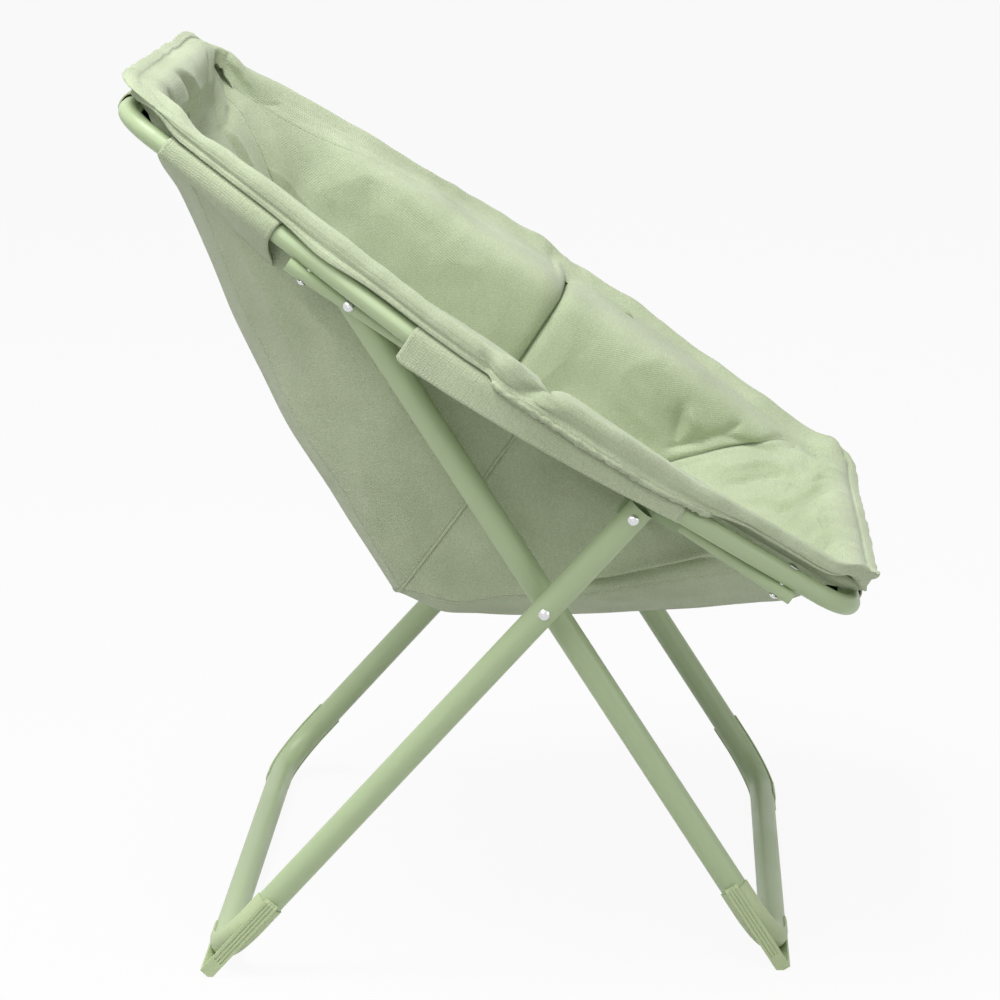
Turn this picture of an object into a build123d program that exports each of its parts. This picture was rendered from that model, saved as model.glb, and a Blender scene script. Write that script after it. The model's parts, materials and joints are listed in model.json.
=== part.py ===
from build123d import *
import math
import os

# A folding saucer chair: a padded sling on a six-sided tube ring, carried by two crossing U-shaped legs.
# Millimetres and degrees. X is the sitter's left, -Y the front, +Z up. "right" is the sitter's right, -X.

# ---- driving dimensions: legs ----
leg_tube = 25.0               # outside diameter of both leg tubes
leg_wall = 1.2
leg_bend = 50.0               # centre-line radius of the two bends of each leg frame
inner_half_width = 263.0      # middle plane to the axis of an inner leg
foot_spread = 514.6           # between the axes of the front and the rear cross tube
floor_gap = 2.0               # between a cross tube and the floor
inner_leg_angle = 57.4        # inner legs to the floor
outer_leg_angle = 48.03       # outer legs to the floor
inner_leg_length = 723.6      # axis of the front cross tube to the rear pivot
outer_leg_length = 568.8      # axis of the rear cross tube to the slider pivot
inner_leg_top = 8.0           # inner tube past the rear pivot
outer_leg_top = 11.0          # outer tube past the slider pivot

# ---- driving dimensions: rails, sliders and stops ----
rail_tube = 12.7
rail_wall = 1.2
rail_past_rear_bolt = 19.5
rail_past_front_bolt = 15.0
rail_side_gap = 0.35          # between the rail and the inner leg beside it
rail_ring_gap = 0.1           # between the rail and the ring that it is bolted to
slider_drop = 13.3            # slider pivot below the rail's axis
slider_sheet = 1.5
slider_length = 30.0
slider_gap = 0.3              # sliding clearance round the rail
slider_lip = 4.0              # inner lip below the top of the rail
ear_leg_gap = 1.15            # between the slider's ear and the outer leg
stop_length = 26.0
stop_sheet = 1.4
stop_gap = 0.3                # slider to stop sleeve, seat open

# ---- driving dimensions: ring outline, on the tube's centre line, seen square to the ring ----
ring_tube = 19.0
ring_wall = 1.2
ring_behind_pivot = 263.5     # rear pivot to the axis of the ring's top bar, along the rail
ring_ahead_of_slider = 220.2  # slider pivot, seat open, to the axis of its front bar
top_corner_in = 76.2          # corner between the top bar and a side, inside the rail's axis
side_corner_out = 77.6        # corner between a side's two halves, before rounding, outside it
side_corner = -37.1           # where along the ring that corner lies, from the ring's middle
front_corner_in = 19.2        # corner between the front bar and a side, inside the rail's axis
end_corner_radius = 54.0
side_corner_radius = 430.0

# ---- driving dimensions: fasteners ----
rivet_shank = 6.0
rivet_head = 10.0
rivet_rise = 3.2
pivot_clearance = 0.05        # on the radius, round a pivot's rivet
slider_tail = 2.0             # flattened rivet tail inside the slider's ear
spacer_tube = 14.0
split_gap = 0.3               # leg spacer to the outer leg
bolt_shank = 5.0
bolt_head = 11.0
bolt_rise = 2.2
bolt_nut = 9.0
bolt_nut_rise = 3.0
bolt_clearance = 0.1

# ---- driving dimensions: foot caps ----
cap_wall = 1.4
cap_gap = 0.15
cap_limb = 78.0               # cap's reach from the corner along either tube
cap_straight = 22.0           # shell past each end of the bend
keel_width = 13.0
keel_wall = 3.0
keel_out = 4.3                # keel's outer face beyond the tube
groove_width = 1.2
groove_depth = 0.8
groove_count = 3
keel_chamfer = 5.0

# ---- driving dimensions: cover ----
sleeve_gap = 0.2
sleeve_cloth = 2.2
rim_height = 22.0
rim_inside = 7.0              # rim's inner face inside the ring's centre line
rim_foot = 6.0                # rim's outer face outside it, at the bottom
rim_lean = 13.0               # the same at the top, where the hem leans outwards
rim_roll = 12.0               # height of the panels' edge on the rim
lip = 2.5                     # panels' flat edge reaches this far inside the sleeves
bowl_depth = 284.0            # rim's underside to the outside of the bowl at the cross seam
seam_across = -57.0           # along the ring, seam between back and seat panels
padding = 11.0
shoulder_leg_gap = 5.5        # cover passes this far inside the inner legs
shoulder_height = 1.5         # and over them this far above the ring's plane
wall_bulge = 0.06             # outward bulge of the side panels, as a share of their height
flap_front, flap_rear = -210.0, 75.0
flap_drop_rear, flap_drop_front = 24.0, 6.0
side_sleeve_off_bolt = 41.5   # side sleeve's front end behind the rear bolt
side_sleeve_off_corner = 12.0 # its rear end from the ring's top corner
top_sleeve_off_corner = 18.0  # ends of the top and front sleeves from the corners
front_sleeve_off_corner = 31.0
# each panel's lines, from the rim to the cross seam. A line's place is a share of that way.
# bottom line: (place, share of the bowl's depth)
# side seam: (place, share of the width between the cover's shoulders, height over the bottom line)
back_bottom = [(0, 0), (0.03, 0.13), (0.065, 0.21), (0.142, 0.264), (0.262, 0.383), (0.377, 0.51),
               (0.501, 0.626), (0.628, 0.743), (0.774, 0.841), (0.919, 0.94), (1, 1)]
back_seam = [(0, 0.669, 0), (0.03, 0.727, 30), (0.065, 0.759, 44), (0.142, 0.771, 45), (0.4, 0.78, 45),
             (0.628, 0.784, 46), (0.774, 0.767, 43), (0.919, 0.718, 36), (1, 0.661, 31)]
seat_bottom = [(0, 0), (0.024, 0.2), (0.06, 0.3), (0.109, 0.355), (0.24, 0.489), (0.377, 0.612),
               (0.562, 0.778), (0.75, 0.92), (0.86, 0.985), (1, 1)]
seat_seam = [(0, 0.898, 0), (0.024, 0.931, 54), (0.06, 0.955, 79), (0.109, 0.971, 92), (0.24, 0.955, 103),
             (0.377, 0.898, 92), (0.562, 0.829, 77), (0.75, 0.776, 66), (0.86, 0.718, 48), (1, 0.661, 31)]

# ---- places that follow from them ----
leg_r = leg_tube / 2
rail_r = rail_tube / 2
ring_r = ring_tube / 2
rail_x = inner_half_width + leg_r + rail_side_gap + rail_r
ear_in = rail_x + rail_r + slider_gap
outer_half_width = ear_in + slider_sheet + ear_leg_gap + leg_r
axis_height = leg_r + floor_gap
top_half_width = rail_x - top_corner_in
side_half_width = rail_x + side_corner_out
front_half_width = rail_x - front_corner_in
shoulder_half_width = inner_half_width - leg_r - shoulder_leg_gap


def up_along(angle, front_to_back):
    """Unit direction (Y, Z) of a leg that rises at angle, towards the back or the front."""
    rad = math.radians(angle)
    return (math.cos(rad) * front_to_back, math.sin(rad))


inner_up = up_along(inner_leg_angle, 1)
outer_up = up_along(outer_leg_angle, -1)
inner_foot = (-foot_spread / 2, axis_height)
outer_foot = (foot_spread / 2, axis_height)


def along(start, direction, distance):
    return (start[0] + direction[0] * distance, start[1] + direction[1] * distance)


rear_pivot = along(inner_foot, inner_up, inner_leg_length)
slider_pivot = along(outer_foot, outer_up, outer_leg_length)
# the crossing, by the sine rule in the triangle of the two feet and the crossing
apex = math.radians(180 - inner_leg_angle - outer_leg_angle)
inner_to_cross = foot_spread * math.sin(math.radians(outer_leg_angle)) / math.sin(apex)
outer_to_cross = foot_spread * math.sin(math.radians(inner_leg_angle)) / math.sin(apex)
crossing = along(inner_foot, inner_up, inner_to_cross)

# the rail starts at the rear pivot and passes slider_drop above the slider pivot
pivot_span = math.dist(rear_pivot, slider_pivot)
pivot_slope = math.atan2(rear_pivot[1] - slider_pivot[1], rear_pivot[0] - slider_pivot[0])
seat_tilt = pivot_slope - math.asin(slider_drop / pivot_span)
slider_travel_start = math.sqrt(pivot_span ** 2 - slider_drop ** 2)

rail_depth = rail_r + rail_ring_gap + ring_r      # rail's axis below the ring's
ring_half_length = (ring_behind_pivot + slider_travel_start + ring_ahead_of_slider) / 2
pivot_behind_middle = ring_half_length - ring_behind_pivot
seat_back = (math.cos(seat_tilt), math.sin(seat_tilt))
seat_up = (-math.sin(seat_tilt), math.cos(seat_tilt))
ring_middle = along(along(rear_pivot, seat_back, -pivot_behind_middle), seat_up, rail_depth)
slider_y = pivot_behind_middle - slider_travel_start


def plane_of(origin, y_direction):
    """Plane through origin (Y, Z), with its x along X and its y along y_direction (Y, Z)."""
    return Plane(origin=(0, origin[0], origin[1]), x_dir=(1, 0, 0),
                 z_dir=(0, -y_direction[1], y_direction[0]))


seat_plane = plane_of(ring_middle, seat_back)
inner_plane = plane_of(inner_foot, inner_up)
outer_plane = plane_of(outer_foot, outer_up)


# ---- small makers ----
def tube_along(path, outside, wall):
    """A hollow tube round path, open at both ends."""
    section = Plane(origin=path @ 0, z_dir=path % 0) * (Circle(outside / 2) - Circle(outside / 2 - wall))
    return sweep(section, path=path)


def rod_x(place, x_from, x_to, diameter):
    """A round bar along X at place (Y, Z)."""
    length = x_to - x_from
    return Pos((x_from + x_to) / 2, place[0], place[1]) * Rot(0, 90, 0) * Cylinder(diameter / 2, length)


def dome(diameter, rise):
    """A domed head whose flat underside lies on XY and whose dome points up Z."""
    radius = diameter / 2
    edge = 0.3 * rise
    ball = (radius ** 2 + (rise - edge) ** 2) / (2 * (rise - edge))
    half_turn = math.asin(radius / ball) / 2
    middle = (ball * math.sin(half_turn), rise - ball * (1 - math.cos(half_turn)))
    profile = make_face([
        Line((0, 0), (radius, 0)),
        Line((radius, 0), (radius, edge)),
        ThreePointArc((radius, edge), middle, (0, rise)),
        Line((0, rise), (0, 0)),
    ])
    return revolve(Plane.XZ * profile, Axis.Z)


def dome_x(place, x, outwards):
    """A rivet head on the face at x, domed towards outwards, which is 1 or -1."""
    return Pos(x, place[0], place[1]) * Rot(0, 90 * outwards, 0) * dome(rivet_head, rivet_rise)


def both_sides(make):
    """make(side) for the sitter's left (side 1) and right (side -1), as one group of solids."""
    return Compound(children=[make(1), make(-1)])


def mirrored(shape):
    return shape.mirror(Plane.YZ)


# ---- legs ----
def leg_path(half_width, length):
    """The centre line of a U-shaped leg frame, in its own plane, from one top to the other."""
    corners = [(-half_width, length), (-half_width, 0), (half_width, 0), (half_width, length)]
    return FilletPolyline(*corners, radius=leg_bend)


def leg_frame(plane, half_width, length, top, pivots):
    """One bent tube with its rivet holes, which run along X at the pivots (Y, Z)."""
    frame = plane * tube_along(leg_path(half_width, length + top), leg_tube, leg_wall)
    reach = half_width + leg_tube
    for place, diameter in pivots:
        frame -= rod_x(place, -reach, reach, diameter)
    return frame


pin_hole = rivet_shank + 2 * pivot_clearance


def foot_cap(plane, half_width):
    """The moulded shoe on the -X bend of a leg frame: a half shell and an L-shaped ribbed keel."""
    straight = leg_bend + cap_straight
    corners = [(-half_width, straight), (-half_width, 0), (-half_width + straight, 0)]
    path = FilletPolyline(*corners, radius=leg_bend)
    inside = leg_r + cap_gap
    outside = inside + cap_wall
    ring = Circle(outside) - Circle(inside)
    half = ring & Pos(0, outside, 0) * Rectangle(4 * outside, 2 * outside)
    start = Plane(origin=path @ 0, x_dir=(0, 0, 1), z_dir=(0, -1, 0))
    shell = sweep(start * half, path=path)
    tube = sweep(start * Circle(inside), path=path)
    face = leg_r + keel_out
    edge_x, edge_y = -half_width - face, -face
    outer = [(edge_x, cap_limb), (edge_x, edge_y), (edge_x + cap_limb + face, edge_y)]
    inner = [(edge_x + cap_limb + face, edge_y + keel_wall), (edge_x + keel_wall, edge_y + keel_wall),
             (edge_x + keel_wall, cap_limb)]
    keel = extrude(make_face(Polyline(*outer, *inner, close=True)), amount=keel_width / 2, both=True)
    keel -= Pos(edge_x, cap_limb, 0) * Rot(0, 0, 45) * Box(keel_chamfer, keel_chamfer, keel_width)
    pitch = keel_width / (groove_count + 1)
    for i in range(groove_count):
        z = (i + 1) * pitch - keel_width / 2
        keel -= Pos(edge_x, edge_y + face + cap_limb / 2, z) * Box(2 * groove_depth, cap_limb, groove_width)
    web_from = leg_bend
    for mid_x, mid_y, size_x, size_y in (
        (-half_width - leg_r - keel_out / 2, (web_from + cap_limb) / 2, keel_out, cap_limb - web_from),
        (-half_width + (web_from + cap_limb) / 2, -leg_r - keel_out / 2, cap_limb - web_from, keel_out),
    ):
        keel += Pos(mid_x, mid_y, 0) * Box(size_x - 2 * groove_depth, size_y - 2 * groove_depth, keel_width / 2)
    cap = plane * (shell + keel - tube)
    below = Pos(0, 0, -leg_tube) * Box(4 * half_width, 4 * foot_spread, 2 * leg_tube)
    return cap - below


# ---- ring outline ----
def normal_angle(start, end):
    """Angle from +x of the outward normal of a side that runs from start to end, towards the front."""
    return math.atan2(end[0] - start[0], start[1] - end[1])


outline_corners = [(top_half_width, ring_half_length), (side_half_width, side_corner),
                   (front_half_width, -ring_half_length)]
upper_normal = normal_angle(outline_corners[0], outline_corners[1])
lower_normal = normal_angle(outline_corners[1], outline_corners[2])
outline_normals = [math.pi / 2, upper_normal, lower_normal, -math.pi / 2]
outline_radii = [end_corner_radius, side_corner_radius, end_corner_radius]


def outline_arcs():
    """The three rounded corners: centre, radius and the normal's angle at both ends."""
    arcs = []
    for i, (x, y) in enumerate(outline_corners):
        first, last = outline_normals[i], outline_normals[i + 1]
        share = outline_radii[i] / (1 + math.cos(first - last))
        centre = (x - share * (math.cos(first) + math.cos(last)),
                  y - share * (math.sin(first) + math.sin(last)))
        arcs.append((centre, outline_radii[i], first, last))
    return arcs


def half_width_at(y, grow=0.0):
    """Half the ring's width at y, on an outline that lies grow outside the tube's centre line."""
    arcs = outline_arcs()
    top = arcs[0][0][1] + arcs[0][1] + grow
    bottom = arcs[-1][0][1] - arcs[-1][1] - grow
    y = max(bottom, min(top, y))
    for (cx, cy), radius, first, last in arcs:
        r = radius + grow
        if cy + r * math.sin(last) <= y <= cy + r * math.sin(first):
            return cx + math.sqrt(max(0.0, r * r - (y - cy) ** 2))
    corner, angle = (outline_corners[0], upper_normal) if y > side_corner else \
        (outline_corners[2], lower_normal)
    return corner[0] - (y - corner[1]) * math.tan(angle) + grow / math.cos(angle)


def ring_point_above_rail(corner, angle):
    """Where along the ring a straight side crosses over the rail."""
    return corner[1] - (rail_x - corner[0]) / math.tan(angle)


bolt_places = [ring_point_above_rail(outline_corners[0], upper_normal),
               ring_point_above_rail(outline_corners[2], lower_normal)]


def side_path(y_from, y_to, side=1):
    """The ring's centre line on one side, between two places on its straight stretches."""
    corners = [(side * half_width_at(y_from), y_from), (side * side_half_width, side_corner),
               (side * half_width_at(y_to), y_to)]
    return FilletPolyline(*corners, radius=side_corner_radius)


def swept_round_ring(section):
    """Sweeps a section, drawn in (outwards, up), round the whole ring, as two mirrored halves."""
    half = FilletPolyline((0, ring_half_length), *outline_corners, (0, -ring_half_length),
                          radius=outline_radii)
    start = Plane(origin=half @ 0, x_dir=(0, 1, 0), z_dir=(1, 0, 0))
    one = sweep(start * section, path=half)
    return one + mirrored(one)


# ---- seat frame ----
def vertical_hole(x, y, h_from, h_to, diameter):
    """A round bar square to the ring, in the ring's own plane."""
    return Pos(x, y, (h_from + h_to) / 2) * Cylinder(diameter / 2, h_to - h_from)


def seat_ring():
    ring = swept_round_ring(Circle(ring_r)) - swept_round_ring(Circle(ring_r - ring_wall))
    for y in bolt_places:
        for side in (1, -1):
            ring -= vertical_hole(side * rail_x, y, -ring_tube, ring_tube, bolt_shank + 2 * bolt_clearance)
    return seat_plane * ring


def rail(side):
    path = Line((side * rail_x, bolt_places[0] + rail_past_rear_bolt, -rail_depth),
                (side * rail_x, bolt_places[1] - rail_past_front_bolt, -rail_depth))
    bar = tube_along(path, rail_tube, rail_wall)
    for y in (*bolt_places, stop_middle):
        bar -= vertical_hole(side * rail_x, y, -rail_depth - rail_tube, -rail_depth + rail_tube,
                             bolt_shank + 2 * bolt_clearance)
    return seat_plane * bar - rod_x(rear_pivot, -2 * rail_x, 2 * rail_x, pin_hole)


def frame_bolts():
    """The bolts that hold the ring on its rails, domed on the ring and riveted over under the rail."""
    bolts = []
    bottom = -rail_depth - rail_r
    for y in bolt_places:
        for side in (1, -1):
            x = side * rail_x
            bolt = vertical_hole(x, y, bottom, ring_r, bolt_shank)
            bolt += Pos(x, y, ring_r) * dome(bolt_head, bolt_rise)
            bolt += Pos(x, y, bottom) * Rot(180, 0, 0) * dome(bolt_nut, bolt_nut_rise)
            bolts.append(bolt)
    return seat_plane * Compound(children=bolts)


stop_end = slider_y - slider_length / 2 - stop_gap
stop_middle = stop_end - stop_length / 2


def clip_section(width, height, sheet):
    """A square-cornered sheet-metal wrap round the rail, drawn across it."""
    return Rectangle(width + 2 * sheet, height + 2 * sheet) - Rectangle(width, height)


def stop_sleeve(side):
    section = Plane(origin=(side * rail_x, stop_middle - stop_length / 2, -rail_depth),
                    x_dir=(1, 0, 0), z_dir=(0, 1, 0)) * clip_section(rail_tube, rail_tube, stop_sheet)
    sleeve = extrude(section, amount=stop_length)
    reach = rail_tube
    sleeve -= vertical_hole(side * rail_x, stop_middle, -rail_depth - reach, -rail_depth + reach,
                            bolt_shank + 2 * bolt_clearance)
    return seat_plane * sleeve


def stop_rivet(side):
    x = side * rail_x
    face = rail_r + stop_sheet
    low, high = -rail_depth - face, -rail_depth + face
    head = 0.6 * bolt_nut_rise
    rivet = vertical_hole(x, stop_middle, low, high, bolt_shank)
    rivet += Pos(x, stop_middle, high) * dome(bolt_nut, head)
    rivet += Pos(x, stop_middle, low) * Rot(180, 0, 0) * dome(bolt_nut, head)
    return seat_plane * rivet


# ---- sliders ----
def slider(side):
    """A sheet hook over the rail, whose ear carries the outer leg's pivot."""
    top = -rail_depth + rail_r + slider_gap
    inside = rail_x - rail_r - slider_gap
    ear_low = -rail_depth - slider_drop
    ear = Pos(ear_in + slider_sheet / 2, slider_y, (top + ear_low) / 2) * \
        Box(slider_sheet, slider_length, top - ear_low)
    ear += Pos(ear_in + slider_sheet / 2, slider_y, ear_low) * Rot(0, 90, 0) * \
        Cylinder(slider_length / 2, slider_sheet)
    bridge = Pos((inside - slider_sheet + ear_in + slider_sheet) / 2, slider_y, top + slider_sheet / 2) * \
        Box(ear_in - inside + 2 * slider_sheet, slider_length, slider_sheet)
    lip = Pos(inside - slider_sheet / 2, slider_y, top - slider_lip / 2) * \
        Box(slider_sheet, slider_length, slider_lip)
    hook = seat_plane * (ear + bridge + lip)
    hook -= rod_x(slider_pivot, 0, 2 * rail_x, pin_hole)
    return hook if side > 0 else mirrored(hook)


# ---- rivets ----
def rear_pivot_rivet(side):
    """Joins the rail to the inner leg."""
    low, high = inner_half_width - leg_r, rail_x + rail_r
    rivet = rod_x(rear_pivot, low, high, rivet_shank)
    rivet += dome_x(rear_pivot, high, 1) + dome_x(rear_pivot, low, -1)
    return rivet if side > 0 else mirrored(rivet)


def slider_rivet(side):
    """Joins the slider's ear to the outer leg."""
    high = outer_half_width + leg_r
    rivet = rod_x(slider_pivot, ear_in, high, rivet_shank) + dome_x(slider_pivot, high, 1)
    tail = rod_x(slider_pivot, ear_in - slider_tail, ear_in, rivet_head - 2)
    rivet = rivet + tail
    return rivet if side > 0 else mirrored(rivet)


def cross_rivet_head(side):
    """The outer half of the crossing's rivet, in the outer leg."""
    low, high = outer_half_width - leg_r, outer_half_width + leg_r
    rivet = rod_x(crossing, low, high, rivet_shank) + dome_x(crossing, high, 1)
    return rivet if side > 0 else mirrored(rivet)


spacer_end = outer_half_width - leg_r - split_gap


def cross_rivet_tail(side):
    """The inner half of the crossing's rivet, in the inner leg and its spacer."""
    low = inner_half_width - leg_r
    rivet = rod_x(crossing, low, spacer_end, rivet_shank) + dome_x(crossing, low, -1)
    return rivet if side > 0 else mirrored(rivet)


def cross_spacer(side):
    """Keeps the two leg frames apart, so that the rails fit between them."""
    low = inner_half_width + leg_r
    spacer = rod_x(crossing, low, spacer_end, spacer_tube)
    spacer -= rod_x(crossing, low, spacer_end, pin_hole)
    return spacer if side > 0 else mirrored(spacer)


# ---- cover ----
rim_low = ring_r + sleeve_gap + sleeve_cloth     # rim's underside above the ring's plane


def cover_rim():
    """The hemmed edge that stands on the ring all round."""
    section = make_face(Polyline(
        (-rim_inside, rim_low), (-rim_inside, rim_low + rim_roll),
        (rim_lean - rim_inside - rim_foot, rim_low + rim_height), (rim_lean, rim_low + rim_height - 3),
        (rim_foot, rim_low), close=True))
    return seat_plane * swept_round_ring(section)


sleeve_in = ring_r + sleeve_gap
sleeve_out = sleeve_in + sleeve_cloth
rim_edge = ring_half_length - rim_inside
bowl_edge = ring_half_length - sleeve_out - lip


def table_at(table, place):
    """The row of a table at place, by straight lines between its rows."""
    for low, high in zip(table, table[1:]):
        if place <= high[0]:
            share = max(0.0, (place - low[0]) / (high[0] - low[0]))
            return [u + (v - u) * share for u, v in zip(low[1:], high[1:])]
    return list(table[-1][1:])


def place_at(y):
    """0 at the rim's inner edge and 1 at the cross seam."""
    end = bowl_edge if y >= seam_across else -bowl_edge
    return max(0.0, (end - y) / (end - seam_across))


def stations(end, *tables):
    """Places along the ring, from the rim to the cross seam, at which a panel's sections are drawn."""
    places = sorted({row[0] for table in tables for row in table})
    edge = math.copysign(rim_edge, end)
    return [edge] + [end + (seam_across - end) * place for place in places]


def outer_height(y):
    """The bowl's bottom line, outside."""
    table = back_bottom if y >= seam_across else seat_bottom
    return rim_low - bowl_depth * table_at(table, place_at(y))[0]


def inner_height(y):
    """The bowl's bottom line, inside: the padding away from every point of the outside."""
    steps = [padding * i / 12 for i in range(-12, 13)]
    return max(outer_height(y + d) + math.sqrt(padding ** 2 - d ** 2) for d in steps)


def seam_point(y, inside=False):
    """(x, h) of a side seam on the cover's outside or inside."""
    table = back_seam if y >= seam_across else seat_seam
    share, lift = table_at(table, place_at(y))
    x = share * shoulder_half_width
    if inside:
        return x - padding / 2, min(inner_height(y) + lift, rim_low + rim_roll - 0.5)
    return x, min(outer_height(y) + lift, rim_low) + 0.5


def centre_section(y):
    """Across a middle panel: an arc outside, an arc inside and the two seam faces."""
    x, h = seam_point(y)
    inner_x, inner_h = seam_point(y, inside=True)
    wire = [
        ThreePointArc((-x, y, h), (0, y, outer_height(y)), (x, y, h)),
        Line((x, y, h), (inner_x, y, inner_h)),
        ThreePointArc((inner_x, y, inner_h), (0, y, inner_height(y) - 0.5), (-inner_x, y, inner_h)),
        Line((-inner_x, y, inner_h), (-x, y, h)),
    ]
    return Face(Wire(wire))


def side_section(y):
    """Across the left side panel: the seam face, the wall inside the legs, and the shelf out to the rim."""
    x, h = seam_point(y)
    inner_x, inner_h = seam_point(y, inside=True)
    rim_x = half_width_at(y, -rim_inside)
    shoulder_x = min(shoulder_half_width, max((x + rim_x) / 2, half_width_at(y, -sleeve_out - lip)))
    shoulder_h = max(h + 0.1, rim_low - (rim_low - shoulder_height) * min(1.0, place_at(y) / 0.06))
    top_x, top_h = max(inner_x + 0.1, shoulder_x - 0.65 * padding), shoulder_h + 0.8 * padding

    def bulged(x0, h0, x1, h1):
        return ((x0 + x1) / 2 + (h1 - h0) * wall_bulge, y, (h0 + h1) / 2 - (x1 - x0) * wall_bulge)

    wire = [
        ThreePointArc((x, y, h), bulged(x, h, shoulder_x, shoulder_h), (shoulder_x, y, shoulder_h)),
        Line((shoulder_x, y, shoulder_h), (rim_x, y, rim_low)),
        Line((rim_x, y, rim_low), (rim_x, y, rim_low + rim_roll)),
        Line((rim_x, y, rim_low + rim_roll), (top_x, y, top_h)),
        ThreePointArc((top_x, y, top_h), bulged(inner_x, inner_h, top_x, top_h), (inner_x, y, inner_h)),
        Line((inner_x, y, inner_h), (x, y, h)),
    ]
    return Face(Wire(wire))


back_stations = stations(bowl_edge, back_bottom, back_seam)
seat_stations = stations(-bowl_edge, seat_bottom, seat_seam)


def middle_panel(places):
    return seat_plane * loft([centre_section(y) for y in places], ruled=True)


def side_panel(places, side):
    panel = loft([side_section(y) for y in places[1:]], ruled=True)
    return seat_plane * (panel if side > 0 else mirrored(panel))


def straight_sleeve(start, end):
    """A cloth sleeve round a straight stretch of the ring."""
    return seat_plane * tube_along(Line(start, end), 2 * sleeve_out, sleeve_cloth)


def end_sleeve(end, gap):
    """The sleeve on the top bar, where end is 1, or on the front bar, where it is -1."""
    (corner_x, _), _, _, _ = outline_arcs()[0 if end > 0 else -1]
    half = corner_x - gap
    return straight_sleeve((-half, end * ring_half_length), (half, end * ring_half_length))


def side_sleeve(side):
    (_, corner_y), radius, _, last = outline_arcs()[0]
    rear = corner_y + radius * math.sin(last) - side_sleeve_off_corner
    front = bolt_places[0] + side_sleeve_off_bolt
    return straight_sleeve((side * half_width_at(rear), rear), (side * half_width_at(front), front))


def side_flap(side):
    """A cloth flap sewn to the rim, which hangs over the outside of the ring and hides the rail."""
    arc_mid = math.cos(math.pi / 4)
    drop = flap_drop_rear
    section = make_face([
        ThreePointArc((0, sleeve_in), (sleeve_in * arc_mid, sleeve_in * arc_mid), (sleeve_in, 0)),
        Line((sleeve_in, 0), (sleeve_in, -drop)),
        Line((sleeve_in, -drop), (sleeve_out, -drop)),
        Line((sleeve_out, -drop), (sleeve_out, 0)),
        ThreePointArc((sleeve_out, 0), (sleeve_out * arc_mid, sleeve_out * arc_mid), (0, sleeve_out)),
        Line((0, sleeve_out), (0, sleeve_in)),
    ])
    (_, arc_y), radius, first, last = outline_arcs()[1]
    path = side_path(max(flap_rear, arc_y + radius * math.sin(first)) + 1,
                     min(flap_front, arc_y + radius * math.sin(last)) - 1)
    tangent = path % 0
    start = Plane(origin=path @ 0, x_dir=(-tangent.Y, tangent.X, 0), z_dir=tangent)
    flap = sweep(start * section, path=path)
    outline = make_face(Polyline((flap_rear, sleeve_out), (flap_rear, -flap_drop_rear),
                                 (flap_front, -flap_drop_front), (flap_front, sleeve_out), close=True))
    flap &= extrude(Plane.YZ * outline, amount=2 * side_half_width)
    return seat_plane * (flap if side > 0 else mirrored(flap))


# ---- the parts ----
side_names = {"left": 1, "right": -1}
parts = {
    "seat_ring": seat_ring(),
    "frame_bolts": frame_bolts(),
    "stop_rivets": both_sides(stop_rivet),
    "inner_leg_frame": leg_frame(inner_plane, inner_half_width, inner_leg_length, inner_leg_top,
                                 [(rear_pivot, pin_hole), (crossing, pin_hole)]),
    "outer_leg_frame": leg_frame(outer_plane, outer_half_width, outer_leg_length, outer_leg_top,
                                 [(slider_pivot, pin_hole), (crossing, pin_hole)]),
    "rear_pivot_rivets": both_sides(rear_pivot_rivet),
    "slider_rivets": both_sides(slider_rivet),
    "cross_rivet_heads": both_sides(cross_rivet_head),
    "cross_rivet_tails": both_sides(cross_rivet_tail),
    "cross_spacers": both_sides(cross_spacer),
    "cover_rim": cover_rim(),
    "cover_back_panel": middle_panel(back_stations),
    "cover_seat_panel": middle_panel(seat_stations),
    "cover_top_sleeve": end_sleeve(1, top_sleeve_off_corner),
    "cover_front_sleeve": end_sleeve(-1, front_sleeve_off_corner),
}
inner_cap = foot_cap(inner_plane, inner_half_width)
outer_cap = foot_cap(outer_plane, outer_half_width)
for name, side in side_names.items():
    parts["rail_" + name] = rail(side)
    parts["stop_sleeve_" + name] = stop_sleeve(side)
    parts["slider_" + name] = slider(side)
    parts["inner_foot_" + name] = inner_cap if side < 0 else mirrored(inner_cap)
    parts["outer_foot_" + name] = outer_cap if side < 0 else mirrored(outer_cap)
    parts["cover_back_side_" + name] = side_panel(back_stations, side)
    parts["cover_seat_side_" + name] = side_panel(seat_stations, side)
    parts["cover_side_sleeve_" + name] = side_sleeve(side)
    parts["cover_flap_" + name] = side_flap(side)

# the origin is on the floor, under the middle of the whole chair
boxes = [part.bounding_box() for part in parts.values()]
middle_y = (min(b.min.Y for b in boxes) + max(b.max.Y for b in boxes)) / 2
os.makedirs("parts", exist_ok=True)
for name, part in parts.items():
    export_step(Pos(0, -middle_y, 0) * part, "parts/" + name + ".step")

# places for the record, in the exported frame
closed_span = (inner_leg_length - inner_to_cross) - (outer_leg_length - outer_to_cross)
closed_run = math.sqrt(closed_span ** 2 - slider_drop ** 2)
inner_open = math.radians(inner_leg_angle) - seat_tilt
outer_open = math.pi - math.radians(outer_leg_angle) - seat_tilt
closed_angle = math.asin(slider_drop / closed_span)
print("shift", round(-middle_y, 4), "tilt", round(math.degrees(seat_tilt), 4))
for label, place in (("rear_pivot", rear_pivot), ("slider_pivot", slider_pivot), ("crossing", crossing),
                     ("ring_middle", ring_middle)):
    print(label, round(place[0] - middle_y, 4), round(place[1], 4))
print("inner leg turns", round(math.degrees(inner_open - closed_angle), 4),
      "outer leg turns", round(math.degrees(outer_open - closed_angle), 4),
      "slider runs", round(slider_travel_start - closed_run, 4))
print("half widths", rail_x, outer_half_width, "bolts", bolt_places, "slider_y", slider_y)
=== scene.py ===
import json
import math

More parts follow.
